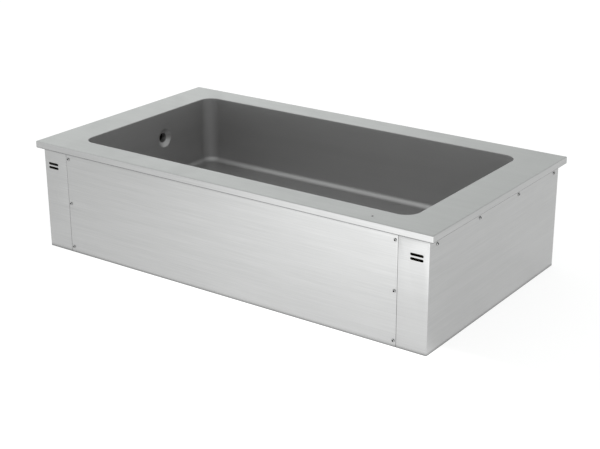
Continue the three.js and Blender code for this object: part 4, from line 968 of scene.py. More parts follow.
def pressed_recess(mouth, throat, hole, depth, wall=0, stub=0):
    """A cone pressed into sheet, with eased edges, and where it's asked for a stub of pipe behind it."""
    back, under = -depth - SHEET, -SHEET - PROUD
    face = [(mouth + COLLAR, PROUD), (mouth, PROUD, COLLAR), (throat, -depth, COLLAR)]
    if stub:
        end = back - stub
        face += [(hole, -depth, SHEET / 3), (hole, end), (hole + wall, end), (hole + wall, back)]
    else:
        face += [(hole, -depth), (hole, back)]
    return turned(profile_of(*face, (throat, back), (mouth, under), (mouth + COLLAR, under)))


def make_basin():
    lip, cove = LIP_BEND, COVE_RADIUS
    lip_back, cove_back = lip - SHEET, cove + SHEET
    lip_z, cove_z = RIM_TOP - lip, FLOOR_TOP + cove
    rings = [opening_ring(-cove - SUPPORT, FLOOR_TOP)]
    rings += [opening_ring(cove * math.sin(a) - cove, cove_z - cove * math.cos(a)) for a in arc(9, 0, 1)]
    rings += [opening_ring(0, cove_z + SUPPORT), opening_ring(0, lip_z - SUPPORT)]
    rings += [opening_ring(lip - lip * math.cos(a), lip_z + lip * math.sin(a)) for a in arc(6, 0, 1)]
    rings += [
        opening_ring(lip - lip_back * math.cos(a), lip_z + lip_back * math.sin(a)) for a in arc(6, 1, 0)
    ]
    rings += [
        opening_ring(cove_back * math.sin(a) - cove, cove_z - cove_back * math.cos(a)) for a in arc(9, 1, 0)
    ]
    basin = sheet_piece("pressed_basin", "basin", skin(rings, cap_ends=True), basin_sheet)
    over, drain = overflow_place(), drain_place()
    cut_away(basin, [
        drill(OVERFLOW_RADIUS + COLLAR / 2, over, Vector((10 * SHEET, 0, 0)), 72),
        drill(DISH_RADIUS + COLLAR / 2, drain, Vector((0, 0, 10 * SHEET)), 72),
    ])
    stub = -BASIN_HALF_LENGTH - BASIN_LOW.x - OVERFLOW_DEPTH - SHEET
    overflow = pressed_recess(
        OVERFLOW_RADIUS, OVERFLOW_THROAT, OVERFLOW_BORE, OVERFLOW_DEPTH, OVERFLOW_WALL, stub,
    )
    bowl = pressed_recess(DISH_RADIUS, DISH_THROAT, DISH_HOLE, FLOOR_TOP - SHEET - BASIN_LOW.z)
    quarter = Matrix.Rotation(math.pi / 2, 4, "Y")
    add_on(basin, [moved(overflow, Matrix.Translation(over) @ quarter), set_at(bowl, drain)])
    return basin


pressed_basin = make_basin()
print("the overflow is at", [round(value, 4) for value in overflow_place()])
print("the basin has", len(pressed_basin.data.polygons), "faces")

# %% [markdown]
# ## The casing
#
# The casing's walls are four plain sheets: a flat panel in front, one behind, and a cover folded round
# each end. Plain sheet still has form. A folded corner has a radius, a punched slot has round ends and a
# crisp edge, and a sheared edge is slightly broken so it doesn't cut. Those small radii are what catch
# the light, so they are made as geometry, not painted on.

# %% Panels with eased edges and pierced holes
EDGE_EASE = SHEET / 4
SEAM_CLOSING = SHEET * 0.42
SCREW_SHANK = 2 * SHEET
SHARP_EDGE = math.radians(50)
FRONT, BACK = -1, 1
LEFT, RIGHT = -1, 1


def box_mesh(low, high):
    mesh = bmesh.new()
    bmesh.ops.create_cube(mesh, size=1)
    middle = (Vector(low) + Vector(high)) / 2
    size = Vector(high) - Vector(low)
    return set_at(moved(mesh, Matrix.Diagonal((*size, 1))), middle)


def ease_edges(mesh, width, steps=3):
    sharp = [edge for edge in mesh.edges if edge.calc_face_angle(0) > SHARP_EDGE]
    bmesh.ops.bevel(
        mesh, geom=sharp, offset=width, segments=steps, profile=0.5, affect="EDGES", clamp_overlap=True,
    )
    return mesh


def screw_names(face, count):
    return [f"{face}_screw_{i + 1}" for i in range(count)]


PANEL_SCREWS = {FRONT: screw_names("front_panel", 6), BACK: screw_names("back_panel", 6)}
END_SCREWS = {LEFT: screw_names("left_end", 4), RIGHT: screw_names("right_end", 4)}


def screw_holes(names, reach):
    """A cutter through the sheet for each named screw."""
    return [drill(SCREW_SHANK, middle_of(name), Vector(reach) * 10 * SHEET, 24) for name in names]


def make_panel(side, name, node):
    low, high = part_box(node)
    closing = Vector((SEAM_CLOSING, 0, 0))
    mesh = ease_edges(box_mesh(low - closing, high + closing), EDGE_EASE)
    panel = sheet_piece(name, node, mesh, brushed_sheet)
    sheared_edges_and_painted_shade(panel)
    cut_away(panel, screw_holes(PANEL_SCREWS[side], (0, 1, 0)))


for side, end in ((FRONT, "front"), (BACK, "back")):
    make_panel(side, f"{end}_sheet", f"{end}_panel")
print("the front panel is", round(PANEL_HIGH.x - PANEL_LOW.x, 4), "m long")

# %% [markdown]
# ## End covers
#
# An end cover is drawn from above as one line that turns two corners. Thickened and raised, that line
# is the folded sheet. The vent slots are then punched through its front and back strips.

# %% End covers, folded and punched
SLOT_LENGTH = 27.5 * SHEET
SLOT_HEIGHT = 5.3 * SHEET
SLOT_PITCH = 8.5 * SHEET
SLOT_FROM_END = 305 / 12 * SHEET
SLOT_DROP = 47.8 * SHEET
SLOT_REACH = 5 * SHEET
FOLD_STEPS = 8
SLOT_STEPS = 12


def folded_outline(side, inset):
    """The cover's line seen from above, from the front strip's free edge round to the back one's."""
    free_x, end_x, half_y = CASE_LOW.x, CASE_HIGH.x - inset, CASE_HIGH.y - inset
    radius = FOLD_RADIUS - inset if inset < FOLD_RADIUS else SHEET / 8
    line = [Vector((free_x, -half_y))]
    for strip, start in ((FRONT, -1), (BACK, 0)):
        middle = Vector((end_x - radius, strip * (half_y - radius)))
        line += [middle + on_circle(angle, radius) for angle in arc(FOLD_STEPS, start, start + 1)]
    line.append(Vector((free_x, half_y)))
    return [Vector((side * point.x, point.y)) for point in line]


def slot_cutter(centre, length, height, reach):
    """A flat bar with round ends, lying along X and reaching through the sheet along Y."""
    radius = height / 2
    points = []
    for way in (1, -1):
        middle = Vector((way * (length / 2 - radius), 0))
        points += [middle + on_circle(angle, radius) for angle in arc(SLOT_STEPS, -way, 2 - way)]
    bar = skin([[(x, y, z) for x, z in points] for y in (-reach, reach)], cap_ends=True)
    return set_at(bar, centre)


def make_end_cover(side, name, node):
    low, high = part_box(node)
    outside, inside = folded_outline(side, 0), folded_outline(side, SHEET)
    mesh = bmesh.new()
    foot, head = (
        [mesh.verts.new((*point, z)) for point in outside + inside[::-1]] for z in (low.z, high.z)
    )
    bridge(mesh, foot, head)
    for row in (foot, head):
        for i in range(len(outside) - 1):
            mesh.faces.new((row[i], row[i + 1], row[-2 - i], row[-1 - i]))
    bmesh.ops.recalc_face_normals(mesh, faces=mesh.faces)
    cover = sheet_piece(name, node, ease_edges(mesh, EDGE_EASE), brushed_sheet)
    sheared_edges_and_painted_shade(cover)
    slot_x = side * (CASE_HIGH.x - SLOT_FROM_END)
    cutters = []
    for row in range(2):
        for strip in (FRONT, BACK):
            centre = (slot_x, strip * CASE_HIGH.y, RIM_TOP - SLOT_DROP - row * SLOT_PITCH)
            cutters.append(slot_cutter(centre, SLOT_LENGTH, SLOT_HEIGHT, SLOT_REACH))
    cut_away(cover, cutters + screw_holes(END_SCREWS[side], (1, 0, 0)))
    return cover


for side, end in ((LEFT, "left"), (RIGHT, "right")):
    cover = make_end_cover(side, f"{end}_cover", f"{end}_end_cover")
    print("the", end, "cover has", len(cover.data.polygons), "faces")

# %% [markdown]
# ## Screws
#
# Twenty button-head screws hold the casing. One is modelled, with a domed head, a broken edge and a
# hexagon socket with a drilled bottom, and all twenty share its mesh. The inside of the socket is painted
# near black as shade, and the rest of the head is bright.

# %% One screw, used twenty times
HEAD_RADIUS = 19 / 6 * SHEET
HEAD_HEIGHT = 1.5 * SHEET
SHANK_LENGTH = 20 / 3 * SHEET
SOCKET_RADIUS = 2.1 * SHEET
SOCKET_DEPTH = 1.3 * SHEET
SOCKET_EDGE = SHEET * 0.06
SCREW_SIDES = 48


def from_flat(angle):
    """How far an angle is from the middle of the nearest flat of a hexagon."""
    return (angle + math.pi / 6) % (math.pi / 3) - math.pi / 6


def screw_mesh():
    """Along +Z, with the head's underside one gap above the sheet."""
    crown = GAP + HEAD_HEIGHT
    mouth = crown - SOCKET_EDGE
    flat_top = SOCKET_RADIUS * 1.12
    tip, thread = SCREW_SHANK * 0.7, SCREW_SHANK * 0.83
    profile = [(0, -SHANK_LENGTH), (tip, -SHANK_LENGTH), (thread, SCREW_SHANK * 0.3 - SHANK_LENGTH)]
    profile += [(thread, GAP), (HEAD_RADIUS * 0.97, GAP), (HEAD_RADIUS, GAP + HEAD_HEIGHT * 0.08)]
    profile += [
        (flat_top + (HEAD_RADIUS - flat_top) * math.sin(a), crown - HEAD_HEIGHT * 0.72 * (1 - math.cos(a)))
        for a in arc(6, 1, 0)
    ]
    mesh = turned(profile + [(SOCKET_RADIUS, mouth)], SCREW_SIDES)
    rim = [vertex for vertex in mesh.verts if abs(vertex.co.z - mouth) < SHEET / 100]
    rim.sort(key=lambda vertex: math.atan2(vertex.co.y, vertex.co.x))
    for corner in rim:
        angle = math.atan2(corner.co.y, corner.co.x)
        flat = SOCKET_RADIUS * math.cos(math.pi / 6) / math.cos(from_flat(angle))
        corner.co.xy = on_circle(angle, flat)
    floor = [mesh.verts.new((*vertex.co.xy, crown - SOCKET_DEPTH)) for vertex in rim]
    bottom = mesh.verts.new((0, 0, crown - SOCKET_DEPTH * 1.35))
    # The socket's walls and bottom take the second material, near black: painted shade.
    for i, j in around(len(rim)):
        for corners in ((rim[i], rim[j], floor[j], floor[i]), (floor[i], floor[j], bottom)):
            mesh.faces.new(corners).material_index = 1
    return mesh


SCREW = finished("casing_screw", screw_mesh(), [screw_steel, socket_painted_shade])


def place_screws(names, facing):
    """Copies of the screw, each turned a little differently, as a fitter leaves them."""
    random.seed(len(names) + sum(facing) * 7)
    facing = Vector(facing)
    for name in names:
        low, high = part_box(name)
        depth = abs((high - low).dot(facing)) / 2
        place = (low + high) / 2 + facing * (depth - GAP - HEAD_HEIGHT)
        twist = Matrix.Rotation(random.uniform(0, math.tau), 4, "Z")
        stand = Matrix.Translation(place) @ pointing(facing) @ twist
        make_piece(name + "_turned", SCREW, "casing", [name], stand)


for side in (-1, 1):
    place_screws(PANEL_SCREWS[side], (0, side, 0))
for side in (-1, 1):
    place_screws(END_SCREWS[side], (side, 0, 0))
print("a screw has", len(SCREW.polygons), "faces")

# %% [markdown]
# ## Tools for round work
#
# Most of what is hidden inside is round: pipes, nuts, tubes and wires. A lathe turns a profile about an
# axis, and a bender takes straight tube round a former, so the helpers here do the same two things.
# A nut is six flats whose corners a lathe has cut back, which one formula for its outline gives.

# %% Bent tube
TUBE_SIDES = 24


def rounded_path(corners, bend_radius, steps=8):
    """Points along straight runs, with an arc of the bend radius at each corner."""
    corners = [Vector(corner) for corner in corners]
    path = [corners[0]]
    for before, corner, after in zip(corners, corners[1:], corners[2:]):
        way_in = (corner - before).normalized()
        way_out = (after - corner).normalized()
        turn = way_in.angle(way_out)
        start = corner - way_in * bend_radius * math.tan(turn / 2)
        side = (way_out - way_in * way_in.dot(way_out)).normalized()
        for step in range(steps + 1):
            angle = turn * step / steps
            path.append(start + (side * (1 - math.cos(angle)) + way_in * math.sin(angle)) * bend_radius)
    path.append(corners[-1])
    kept = [point for before, point in zip(path, path[1:]) if (point - before).length > SHEET / 100]
    return [path[0], *kept]


def eased_ends(path, radius, ease):
    """The path and a radius for each point, with both ends slightly rounded off."""
    first = (path[1] - path[0]).normalized() * ease
    last = (path[-2] - path[-1]).normalized() * ease
    full = [path[0], path[0] + first, *path[1:-1], path[-1] + last, path[-1]]
    return full, [radius - ease, *[radius] * (len(full) - 2), radius - ease]


def map_wrap(mesh, rows, reach, step):
    """Faces along a tube, and a map called wrap: metres along it and metres round it."""
    layer = mesh.loops.layers.uv["wrap"]
    for i, (low, high) in enumerate(zip(rows, rows[1:])):
        for k, n in around(len(low)):
            face = mesh.faces.new((low[k], low[n], high[n], high[k]))
            spots = ((reach[i], k), (reach[i], k + 1), (reach[i + 1], k + 1), (reach[i + 1], k))
            for loop, (distance, turn) in zip(face.loops, spots):
                loop[layer].uv = (distance, turn * step)


def tube_mesh(path, radii, bore=0, sides=TUBE_SIDES):
    """A round tube, solid or with a bore."""
    mesh = bmesh.new()
    mesh.loops.layers.uv.new("wrap")
    across = (path[1] - path[0]).orthogonal().normalized()
    outer, inner, reach = [], [], [0]
    for i, (point, radius) in enumerate(zip(path, radii)):
        along = (path[min(i + 1, len(path) - 1)] - path[max(i - 1, 0)]).normalized()
        across = (across - along * along.dot(across)).normalized()
        other = along.cross(across)
        spokes = [across * math.cos(angle) + other * math.sin(angle) for angle in circle(sides)]
        outer.append([mesh.verts.new(point + spoke * radius) for spoke in spokes])
        if bore:
            inner.append([mesh.verts.new(point + spoke * bore) for spoke in spokes])
        if i:
            reach.append(reach[-1] + (point - path[i - 1]).length)
    for rows in (outer, inner):
        map_wrap(mesh, rows, reach, math.tau * max(radii) / sides)
    for end in (0, -1):
        if bore:
            bridge(mesh, outer[end], inner[end])
        else:
            mesh.faces.new(outer[end])
    return mesh


print("a tube has", TUBE_SIDES, "sides, unless it is very thick or thin")

# %% Nuts, threads and balls
THREAD_DEPTH_SHARE = 0.4
NUT_CROWN_SHARE = 0.96
NUT_CHAMFER = math.tan(math.radians(30))


def nut_mesh(flats, low, high, bore):
    """A nut about Z: six flats, with the corners turned back above and below."""
    crown = flats / 2 * NUT_CROWN_SHARE
    rings = [[], [], [], [], [], []]
    for angle in circle(48):
        corner = flats / 2 / math.cos(from_flat(angle))
        drop = (corner - crown) * NUT_CHAMFER
        spots = (
            (bore, low), (crown, low), (corner, low + drop),
            (corner, high - drop), (crown, high), (bore, high),
        )
        for ring_points, (radius, z) in zip(rings, spots):
            ring_points.append(on_circle(angle, radius, z))
    return skin(rings)


def threaded(radius, low, high, pitch):
    """A thread's profile. Rings stand in for the helix, which looks the same at this size."""
    count = round(abs(high - low) / pitch)
    root = radius - pitch * THREAD_DEPTH_SHARE
    points = []
    for i in range(count):
        points.append((root, low + (high - low) * i / count))
        points.append((radius, low + (high - low) * (i + 0.5) / count))
    return points + [(root, high)]


def ball_mesh(radius, place):
    mesh = bmesh.new()
    bmesh.ops.create_uvsphere(mesh, u_segments=48, v_segments=24, radius=radius)
    return set_at(mesh, place)


print("a nut's corners are turned back at", round(math.degrees(math.atan(NUT_CHAMFER))), "degrees")

# %% [markdown]
# ## Drain
#
# Water leaves through a flange in the floor's dish, past a strainer that lifts out by its knob. Below the
# floor a back nut pulls the flange tight, and an elbow leads to a ball valve and a tee. Flange and
# strainer are polished, because they are food side. The rest is brass: cast where it is a body, turned
# where it is a nut or a thread.

# %% Sizes of the drain, read from the frame
DRAIN = drain_place()
DRAIN_AXIS = Vector((DRAIN.x, DRAIN.y, 0))
VALVE = middle_of("valve_ball")
VALVE_AXIS = Vector((VALVE.x, VALVE.y, 0))
ELBOW = Vector((DRAIN.x, DRAIN.y, VALVE.z))
TEE = Vector((DRAIN.x, middle_of("overflow_hose").y, VALVE.z))
FITTING_RADIUS = DRAIN.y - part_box("drain_elbow")[0].y
ARM_RADIUS = FITTING_RADIUS * 0.92
PIPE_BORE = 25 / 3 * SHEET
TAIL_RADIUS = 11 * SHEET
PIPE_SOCKET_BORE = TAIL_RADIUS + GAP
PIPE_SOCKET_DEPTH = 10 * SHEET
THREAD_PITCH = 1.5 * SHEET
STEM_BORE = 10 / 3 * SHEET + GAP
print("the pipe runs at", round(VALVE.z, 4), "m, from y", round(DRAIN.y, 4), "to", round(TEE.y, 4))

# %% Flange, strainer and back nut
STRAINER_HOLE_RINGS = ((6, 0.37), (12, 0.61), (18, 0.84))
STRAINER_HOLE_RADIUS = 1.2 * SHEET
STRAINER_THICKNESS = 1.25 * SHEET
KNOB_GRIP = 10 / 3 * SHEET
KNOB_SHARES = ((0.5, 0.4), (0.65, 0.52), (0.94, 0.62), (1, 0.68), (1, 0.86), (0.9, 0.95), (0.6, 1))


def make_flange():
    low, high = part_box("drain_flange")
    edge = (high.x - low.x) / 2
    strainer_low, strainer_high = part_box("drain_strainer")
    seat = (strainer_high.x - strainer_low.x) / 2 + GAP
    step = strainer_low.z - GAP
    under = high.z - 2.5 * SHEET
    tail = threaded(TAIL_RADIUS, low.z, under - SHEET, THREAD_PITCH)
    mesh = turned(profile_of(
        (PIPE_BORE, low.z), *tail, (TAIL_RADIUS - SHEET, under), (edge, under), (edge, high.z, SHEET * 1.2),
        (seat, high.z, SHEET / 3), (seat, step), (PIPE_BORE, step, SHEET * 0.8),
    ))
    inner_piece("polished_flange", "drain_flange", set_at(mesh, DRAIN_AXIS), "mirror_steel")


def make_strainer():
    low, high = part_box("drain_strainer")
    radius = (high.x - low.x) / 2
    top = low.z + STRAINER_THICKNESS
    mesh = turned(profile_of(
        (0, low.z), (radius - SHEET / 3, low.z), (radius, low.z + SHEET / 3), (radius, top, SHEET / 2),
        (KNOB_GRIP / 2, top, SHEET / 2),
        *((KNOB_GRIP * out, top + (high.z - top) * up) for out, up in KNOB_SHARES), (0, high.z),
    ))
    strainer = inner_piece(
        "lift_out_strainer", "drain_strainer", set_at(mesh, DRAIN_AXIS), "mirror_steel", "strainer",
    )
    holes = []
    for count, share in STRAINER_HOLE_RINGS:
        for angle in circle(count):
            spot = DRAIN_AXIS + on_circle(angle, share * radius, low.z + STRAINER_THICKNESS / 2)
            reach = Vector((0, 0, STRAINER_THICKNESS / 2 + SHEET))
            holes.append(drill(STRAINER_HOLE_RADIUS, spot, reach, 16))
    cut_away(strainer, holes)


def make_nut(name, node, axis, bore, finish, body):
    low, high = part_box(node)
    mesh = set_at(nut_mesh(high.y - low.y, low.z, high.z, bore), axis)
    return inner_piece(name, node, mesh, finish, body, limit=NUT_SMOOTH_LIMIT)


make_flange()
make_strainer()
make_nut("back_nut", "drain_backnut", DRAIN_AXIS, PIPE_SOCKET_BORE, "turned_brass", "casing")
print("the strainer has", sum(count for count, share in STRAINER_HOLE_RINGS), "holes")

# %% Elbow and tee: arms that a caster joins round a ball
def arm_mesh(length):
    """A cast arm that thickens to a bead round its mouth."""
    bead = length - 6 * SHEET
    return turned(profile_of(
        (0, 0), (ARM_RADIUS, 0), (ARM_RADIUS, bead), (FITTING_RADIUS, bead + SHEET, SHEET),
        (FITTING_RADIUS, length, SHEET / 2), (0, length),
    ))


def bores_along(place, direction, length, socket=False):
    """A pipe's bore from a place out through a mouth, and the wider socket in that mouth."""
    end = place + direction * (length + SHEET)
    bores = [rod_cutter(PIPE_BORE, place, end)]
    if socket:
        bores.append(rod_cutter(PIPE_SOCKET_BORE, place + direction * (length - PIPE_SOCKET_DEPTH), end))
    return bores


def cast_piece(name, node, first, additions, bores):
    piece = inner_piece(name, node, first, "sand_cast_brass")
    for mesh in additions:
        add_on(piece, [mesh])
    for mesh in bores:
        cut_away(piece, [mesh])
    return piece


def make_elbow():
    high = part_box("drain_elbow")[1]
    rise, run = high.z - ELBOW.z, high.y - ELBOW.y
    up, away = Vector((0, 0, 1)), Vector((0, 1, 0))
    up_bores, away_bores = bores_along(ELBOW, up, rise, True), bores_along(ELBOW, away, run, True)
    return cast_piece(
        "cast_elbow", "drain_elbow", set_along(arm_mesh(rise), ELBOW, up),
        [ball_mesh(ARM_RADIUS, ELBOW), set_along(arm_mesh(run), ELBOW, away)],
        [ball_mesh(PIPE_BORE, ELBOW), up_bores[0], away_bores[0], up_bores[1], away_bores[1]],
    )


def make_tee():
    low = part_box("drain_tee")[0]
    away, left, down = Vector((0, -1, 0)), Vector((-1, 0, 0)), Vector((0, 0, -1))
    run, reach, drop = TEE.y - low.y, TEE.x - low.x, TEE.z - low.z
    spigot = 145 / 12 * SHEET
    outlet = 83 / 6 * SHEET
    barbs = [(0, 0), (spigot * 0.94, 0), (spigot * 0.94, reach * 0.45)]
    for share in (0.5, 0.66, 0.82):
        barbs += [(spigot, reach * share), (spigot * 0.94, reach * (share + 0.13))]
    barbs += [(spigot * 0.9, reach), (0, reach)]
    threads = [(0, 0), (outlet * 0.95, 0), (outlet * 0.95, drop * 0.46)]
    threads += threaded(outlet, drop * 0.48, drop - SHEET / 2, THREAD_PITCH)
    threads += [(outlet * 0.93, drop), (0, drop)]
    return cast_piece(
        "cast_tee", "drain_tee", set_along(arm_mesh(run), TEE, away),
        [
            ball_mesh(FITTING_RADIUS, TEE),
            set_along(turned(barbs), TEE, left),
            set_along(turned(threads), TEE, down),
        ],
        [
            ball_mesh(PIPE_BORE, TEE),
            *bores_along(TEE, away, run, True),
            *bores_along(TEE, left, reach),
            *bores_along(TEE, down, drop),
        ],
    )


cast_elbow = make_elbow()
cast_tee = make_tee()
print("faces in elbow and tee:", [len(piece.data.polygons) for piece in (cast_elbow, cast_tee)])

# %% The valve's body
BALL_RADIUS = 12.5 * SHEET
BALL_ROOM = 155 / 12 * SHEET


def make_valve_body():
    low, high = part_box("valve_body")
    end = high.y - VALVE.y
    shell = end - PIPE_SOCKET_DEPTH + GAP
    across = (high.x - low.x) / 2
    flats = across * 2 * math.cos(math.pi / 6)
    hub = flats * 0.44
    collar = shell * 0.34
    bonnet = 7.5 * SHEET
    drop = VALVE.z - low.z
    along, down = Vector((0, 1, 0)), Vector((0, 0, -1))
    belly = [(0, -end), *threaded(TAIL_RADIUS, -end, -shell, THREAD_PITCH)]
    belly += [(hub, -shell), (hub, -shell + collar)]
    belly += [
        (across - across * 0.1 * math.cos(a) ** 2, -(shell - collar) * math.cos(a)) for a in arc(10, 0, 2)
    ]
    belly += [(hub, shell - collar), (hub, shell), *threaded(TAIL_RADIUS, shell, end, THREAD_PITCH), (0, end)]
    waist = bonnet * 0.8
    neck = [(0, 0), (bonnet, 0), (bonnet, drop * 0.8), (waist, drop * 0.84), (waist, drop), (0, drop)]
    return cast_piece(
        "cast_valve", "valve_body", set_along(turned(belly), VALVE, along),
        [
            set_along(nut_mesh(flats, -shell, -shell + collar, PIPE_BORE), VALVE, along),
            set_along(nut_mesh(flats, shell - collar, shell, PIPE_BORE), VALVE, along),
            set_along(turned(neck), VALVE, down),
            set_along(nut_mesh(bonnet * 1.72, drop * 0.84, drop, bonnet * 0.6), VALVE, down),
        ],
        [
            ball_mesh(BALL_ROOM, VALVE),
            drill(PIPE_BORE, VALVE, along * (end + SHEET)),
            rod_cutter(STEM_BORE, VALVE, VALVE + down * (drop + SHEET)),
        ],
    )


cast_valve = make_valve_body()
print("the valve's body has", len(cast_valve.data.polygons), "faces")

# %% The valve's moving parts
GROOVES_IN_GRIP = 6
GRIP_EASE = 1.7 * SHEET


def make_ball():
    tilt = math.acos(PIPE_BORE / BALL_RADIUS)
    profile = [tuple(on_circle(tilt * step / 10, BALL_RADIUS)) for step in range(-10, 11)]
    mesh = set_along(turned(profile), VALVE, (1, 0, 0))
    return inner_piece("valve_sphere", "valve_ball", mesh, "mirror_steel", "valve_handle")


def make_spindle():
    low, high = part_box("valve_stem")
    radius = (high.x - low.x) / 2
    groove = radius * 0.82
    foot, top = low.z, high.z
    profile = [(0, foot), (radius * 0.75, foot)]
    profile += threaded(radius, foot + SHEET / 3, foot + 5 * SHEET, SHEET / 2)
    profile += [(groove, foot + 5.4 * SHEET), (radius, foot + 6 * SHEET), (radius, top - 3 * SHEET)]
    profile += [(groove, top - 2.6 * SHEET), (groove, top - 1.8 * SHEET), (radius, top - 1.4 * SHEET)]
    mesh = set_at(turned([*profile, (radius, top), (0, top)], 40), VALVE_AXIS)
    return inner_piece("valve_spindle", "valve_stem", mesh, "turned_brass", "valve_handle")


def flat_bar(low, high, ease):
    """A bar with half-round ends, lying flat along X."""
    mesh = slot_cutter((0, 0, 0), high.x - low.x, high.y - low.y, (high.z - low.z) / 2)
    quarter = Matrix.Rotation(math.pi / 2, 4, "X")
    return set_at(moved(ease_edges(mesh, ease), quarter), (low + high) / 2)


def make_lever():
    bar = flat_bar(*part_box("valve_lever"), SHEET / 2)
    lever = inner_piece("lever_bar", "valve_lever", bar, "zinc_plated_steel", "valve_handle")
    middle = VALVE_AXIS + Vector((0, 0, middle_of("valve_lever").z))
    cut_away(lever, [drill(STEM_BORE, middle, Vector((0, 0, 5 * SHEET)), 32)])
    return lever


def grip_mesh(low, high):
    """Square where the lever goes in, half round at the far end, and soft all over."""
    radius = (high.y - low.y) / 2
    middle = Vector((high.x - radius, (low.y + high.y) / 2))
    outline = [low.xy, *(middle + on_circle(a, radius) for a in arc(20, -1, 1)), Vector((low.x, high.y))]
    block = skin([[(*point, z) for point in outline] for z in (low.z, high.z)], cap_ends=True)
    return ease_edges(block, GRIP_EASE, 5)


def make_grip():
    low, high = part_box("lever_grip")
    bar_low, bar_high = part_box("valve_lever")
    gap = Vector((GAP, GAP, GAP))
    grip = inner_piece("vinyl_grip", "lever_grip", grip_mesh(low, high), "dipped_vinyl", "valve_handle")
    grooves = []
    for face in (low.z, high.z):
        for i in range(GROOVES_IN_GRIP):
            x = low.x + (high.x - low.x) * (0.2 + 0.11 * i)
            grooves.append(rod_cutter(SHEET, (x, low.y - SHEET, face), (x, high.y + SHEET, face), 20))
    cut_away(grip, grooves)
    cut_away(grip, [flat_bar(bar_low - gap, bar_high + gap, SHEET / 100)])
    return grip


HANDLE = [
    make_ball(), make_spindle(), make_lever(), make_grip(),
    make_nut("handle_nut", "lever_nut", VALVE_AXIS, STEM_BORE, "zinc_plated_steel", "valve_handle"),
]
print("pieces that turn with the lever:", [piece.name for piece in HANDLE])

# %% [markdown]
# ## Overflow hose and its clamps
#
# The hose is black rubber tube, bent round two generous curves, and pushed over a spigot at each end. It
# is one tube along a path, with a bore, because both ends are seen. A worm-drive clamp is a band with
# slots pressed in it, a housing, and a screw whose head stands out sideways.

# %% The hose
HOSE_LOW, HOSE_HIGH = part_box("overflow_hose")
HOSE_RADIUS = (HOSE_HIGH.y - HOSE_LOW.y) / 2
HOSE_BORE = 37 / 3 * SHEET
HOSE_X = HOSE_LOW.x + HOSE_RADIUS
HOSE_STRAIGHT = 2.5 * SHEET
HOSE_LAP = 10 * SHEET - GAP
HOSE_SIDES = 48


def make_hose():
    y = TEE.y
    top, foot = overflow_place().z, VALVE.z
    bend_radius = BASIN_LOW.x - HOSE_STRAIGHT - HOSE_X
    corners = [(BASIN_LOW.x + HOSE_LAP, y, top), (HOSE_X, y, top), (HOSE_X, y, foot), (HOSE_HIGH.x, y, foot)]
    path, radii = eased_ends(rounded_path(corners, bend_radius, 16), HOSE_RADIUS, SHEET / 3)
    mesh = tube_mesh(path, radii, HOSE_BORE, HOSE_SIDES)
    inner_piece("rubber_hose", "overflow_hose", mesh, "black_hose")


make_hose()
print("the hose is", round(2 * HOSE_RADIUS, 4), "m thick")

# %% Worm-drive clamps
CLAMP_BORE = HOSE_RADIUS + GAP
BAND = 13 / 12 * SHEET
BAND_SLOTS = 24
WORM_LENGTH = 5.4 * SHEET


def make_clamp(name, node):
    low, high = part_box(node)
    centre = Vector(((low.x + high.x) / 2, TEE.y, low.z + (high.y - low.y) / 2))
    half = (high.x - low.x) / 2
    outside = CLAMP_BORE + BAND
    top = high.z - centre.z
    length = WORM_LENGTH
    profile = profile_of(
        (CLAMP_BORE, -half), (outside, -half, SHEET / 3), (outside, half, SHEET / 3), (CLAMP_BORE, half),
    )
    band = set_along(turned(profile, 96), centre, (1, 0, 0))
    clamp = inner_piece(name, node, band, "mirror_steel")
    corner = Vector((half, length, top - SHEET / 2))
    housing = box_mesh(centre + Vector((-half, -length, CLAMP_BORE + SHEET / 4)), centre + corner)
    worm = [(0, -length * 1.2), (half * 0.5, -length * 1.2)]
    worm += threaded(half * 0.62, -length, length, SHEET * 0.8)
    worm += [(half * 0.5, length * 1.05), (0, length * 1.05)]
    axis = centre + Vector((0, 0, (CLAMP_BORE + top) / 2 + SHEET / 2))
    head = nut_mesh(half * 1.5, -length * 1.2, -length * 1.02, half * 0.3)
    add_on(clamp, [ease_edges(housing, SHEET, 4)])
    for round_part in (turned(worm, 32), head):
        add_on(clamp, [set_along(round_part, axis, (0, 1, 0))])
    slots = []
    slot_size = Vector((half * 0.55, SHEET * 0.4, SHEET * 0.3))
    for i in range(BAND_SLOTS):
        angle = (i + 0.5) * math.tau / BAND_SLOTS
        if abs(angle - math.pi / 2) >= math.pi / 7:
            direction = Vector((0, math.cos(angle), math.sin(angle)))
            place = centre + direction * (outside + SHEET * 0.1)
            slots.append(set_along(box_mesh(-slot_size, slot_size), place, direction))
    cut_away(clamp, slots)
    return clamp


CLAMPS = [make_clamp(f"{end}_worm_clamp", f"{end}_hose_clamp") for end in ("upper", "lower")]
print("each clamp has", len(CLAMPS[0].data.polygons), "faces")

# %% [markdown]
# ## Heating and insulation
#
# Three sheathed elements are bent to and fro under the floor, held up by a thin plate. Each is one tube
# along a bent path, and its ends step down to a terminal pin. Their colour tells of heat: brown and blue
# where it was plain steel. Pressed mineral wool lies under them and round the walls. It is soft, so its
# faces aren't flat: a dense mesh is pushed in by noise, which gives the lumps and hollows of real wool.

# %% Three heating elements and the plate that holds them up
ELEMENT_LEGS = 4
PIN_LENGTH = 5 * SHEET
PLATE_HOLE_RADIUS = 6 * SHEET
PLATE_HOLE_COLUMNS = 8


